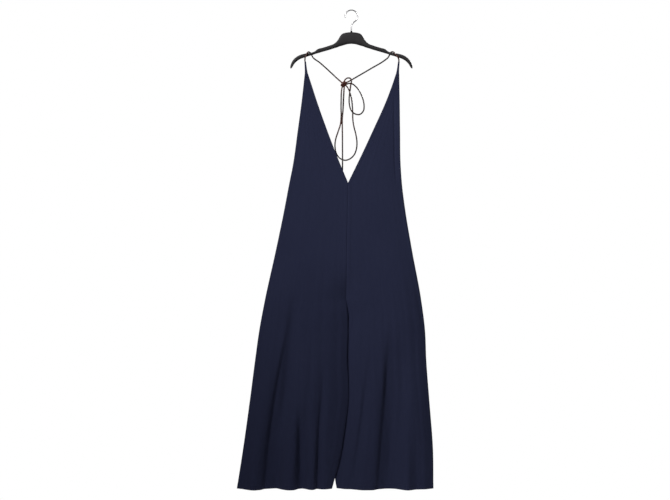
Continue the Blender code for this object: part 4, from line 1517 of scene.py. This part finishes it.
def add_hanger():
    """The whole hanger body, lofted from one tip to the other."""
    reach = HANGER_RIBS[-1].out
    half = reach * np.sin(np.linspace(0.0, math.pi / 2, HANGER_STATIONS))
    x = np.concatenate([-half[:0:-1], half])[:, None]
    out = np.abs(x)
    top, foot, deep = (read_table(HANGER_RIBS, key, out) for key in ("top", "foot", "half_depth"))
    near_tip = np.clip((out - reach + TIP_FROM) / TIP_LENGTH, 0.0, 1.0)
    tip = np.sqrt(np.clip(1 - near_tip ** 2, TIP_LEAST, 1.0))
    turn = full_turn(HANGER_SIDES)
    flash = FLASH * bell(np.cos(turn), FLASH_WIDTH) * np.sign(np.sin(turn))
    y = deep * tip * squarer(np.cos(turn), HANGER_SQUARENESS)
    rise = (foot - top) / 2 * tip * squarer(np.sin(turn), HANGER_SQUARENESS)
    points = np.stack(np.broadcast_arrays(x, y, -(top + foot) / 2 + rise + flash), axis=-1)
    piece = add_piece("hanger_moulding", points, tube_faces(len(x), HANGER_SIDES), plastic, sharp=58.0)
    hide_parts("hanger_body")
    return piece


hanger = add_hanger()
print(hanger.name, len(hanger.data.polygons), "faces")

# %% [markdown]
# ### Hook and collar
# A bent plated wire stands in a small turned collar. Both could come from curve objects
# with a bevel. The collar is rings of each radius in its profile instead, so that its
# ridge is exact, and the wire is a tube whose radius shrinks to a rounded end.

# %% collar
COLLAR_FOOT = -0.0753
COLLAR_SIDES = 40
COLLAR_PROFILE = (                 # height above the foot, radius
    (0.0000, 0.0034),
    (0.0002, 0.0036),
    (0.0012, 0.0036),
    (0.0015, 0.0032),
    (0.0019, 0.0032),
    (0.0022, 0.0034),
    (0.0040, 0.0031),
    (0.0045, 0.0027),
    (0.0046, 0.0021),
)


def add_collar():
    """A turned piece: x = r cos(turn), y = r sin(turn), z = foot + height."""
    turn = full_turn(COLLAR_SIDES)
    height, radius = (column[:, None] for column in np.array(COLLAR_PROFILE).T)
    rings = np.broadcast_arrays(radius * np.cos(turn), radius * np.sin(turn), COLLAR_FOOT + height)
    faces = tube_faces(len(COLLAR_PROFILE), COLLAR_SIDES)
    piece = add_piece("hook_collar", np.stack(rings, axis=-1), faces, plastic, sharp=35.0)
    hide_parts("hook_ferrule")
    return piece


collar = add_collar()
print(collar.name, len(collar.data.polygons), "faces")

# %% hook
WIRE_RADIUS = 0.0018
HOOK_INNER_RADIUS = 0.0200
HOOK_ARC = (-62.0, 205.0)          # degrees, from the lower right to the lower left
HOOK_STEM = ((0.0, 0.0, -0.0704), (0.0, 0.0, -0.0606), (0.0006, 0.0, -0.0530))
HOOK_STEP = 0.0008
HOOK_SIDES = 24


def add_hook():
    """The wire: a stem, then an open arc with a rounded end."""
    radius = HOOK_INNER_RADIUS + WIRE_RADIUS
    angles = np.radians(np.linspace(*HOOK_ARC, 90))[::5]
    height = -HOOK_INNER_RADIUS + radius * np.sin(angles)
    arc = np.stack([radius * np.cos(angles), np.zeros_like(angles), height], axis=1)
    path = even_path(np.concatenate([HOOK_STEM, arc]), HOOK_STEP)
    left = run_length(path)[-1] - run_length(path)
    near_end = np.clip(1 - left / WIRE_RADIUS, 0.0, 1.0)
    spread = WIRE_RADIUS * np.sqrt(np.clip(1 - near_end ** 2, 0.02, 1.0))
    points, _ = tube_arrays(path, spread[:, None], HOOK_SIDES)
    piece = add_piece("hook_wire", points, tube_faces(len(path), HOOK_SIDES), wire, sharp=60.0)
    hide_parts("hanger_hook")
    return piece


hook = add_hook()
print(hook.name, len(hook.data.polygons), "faces")
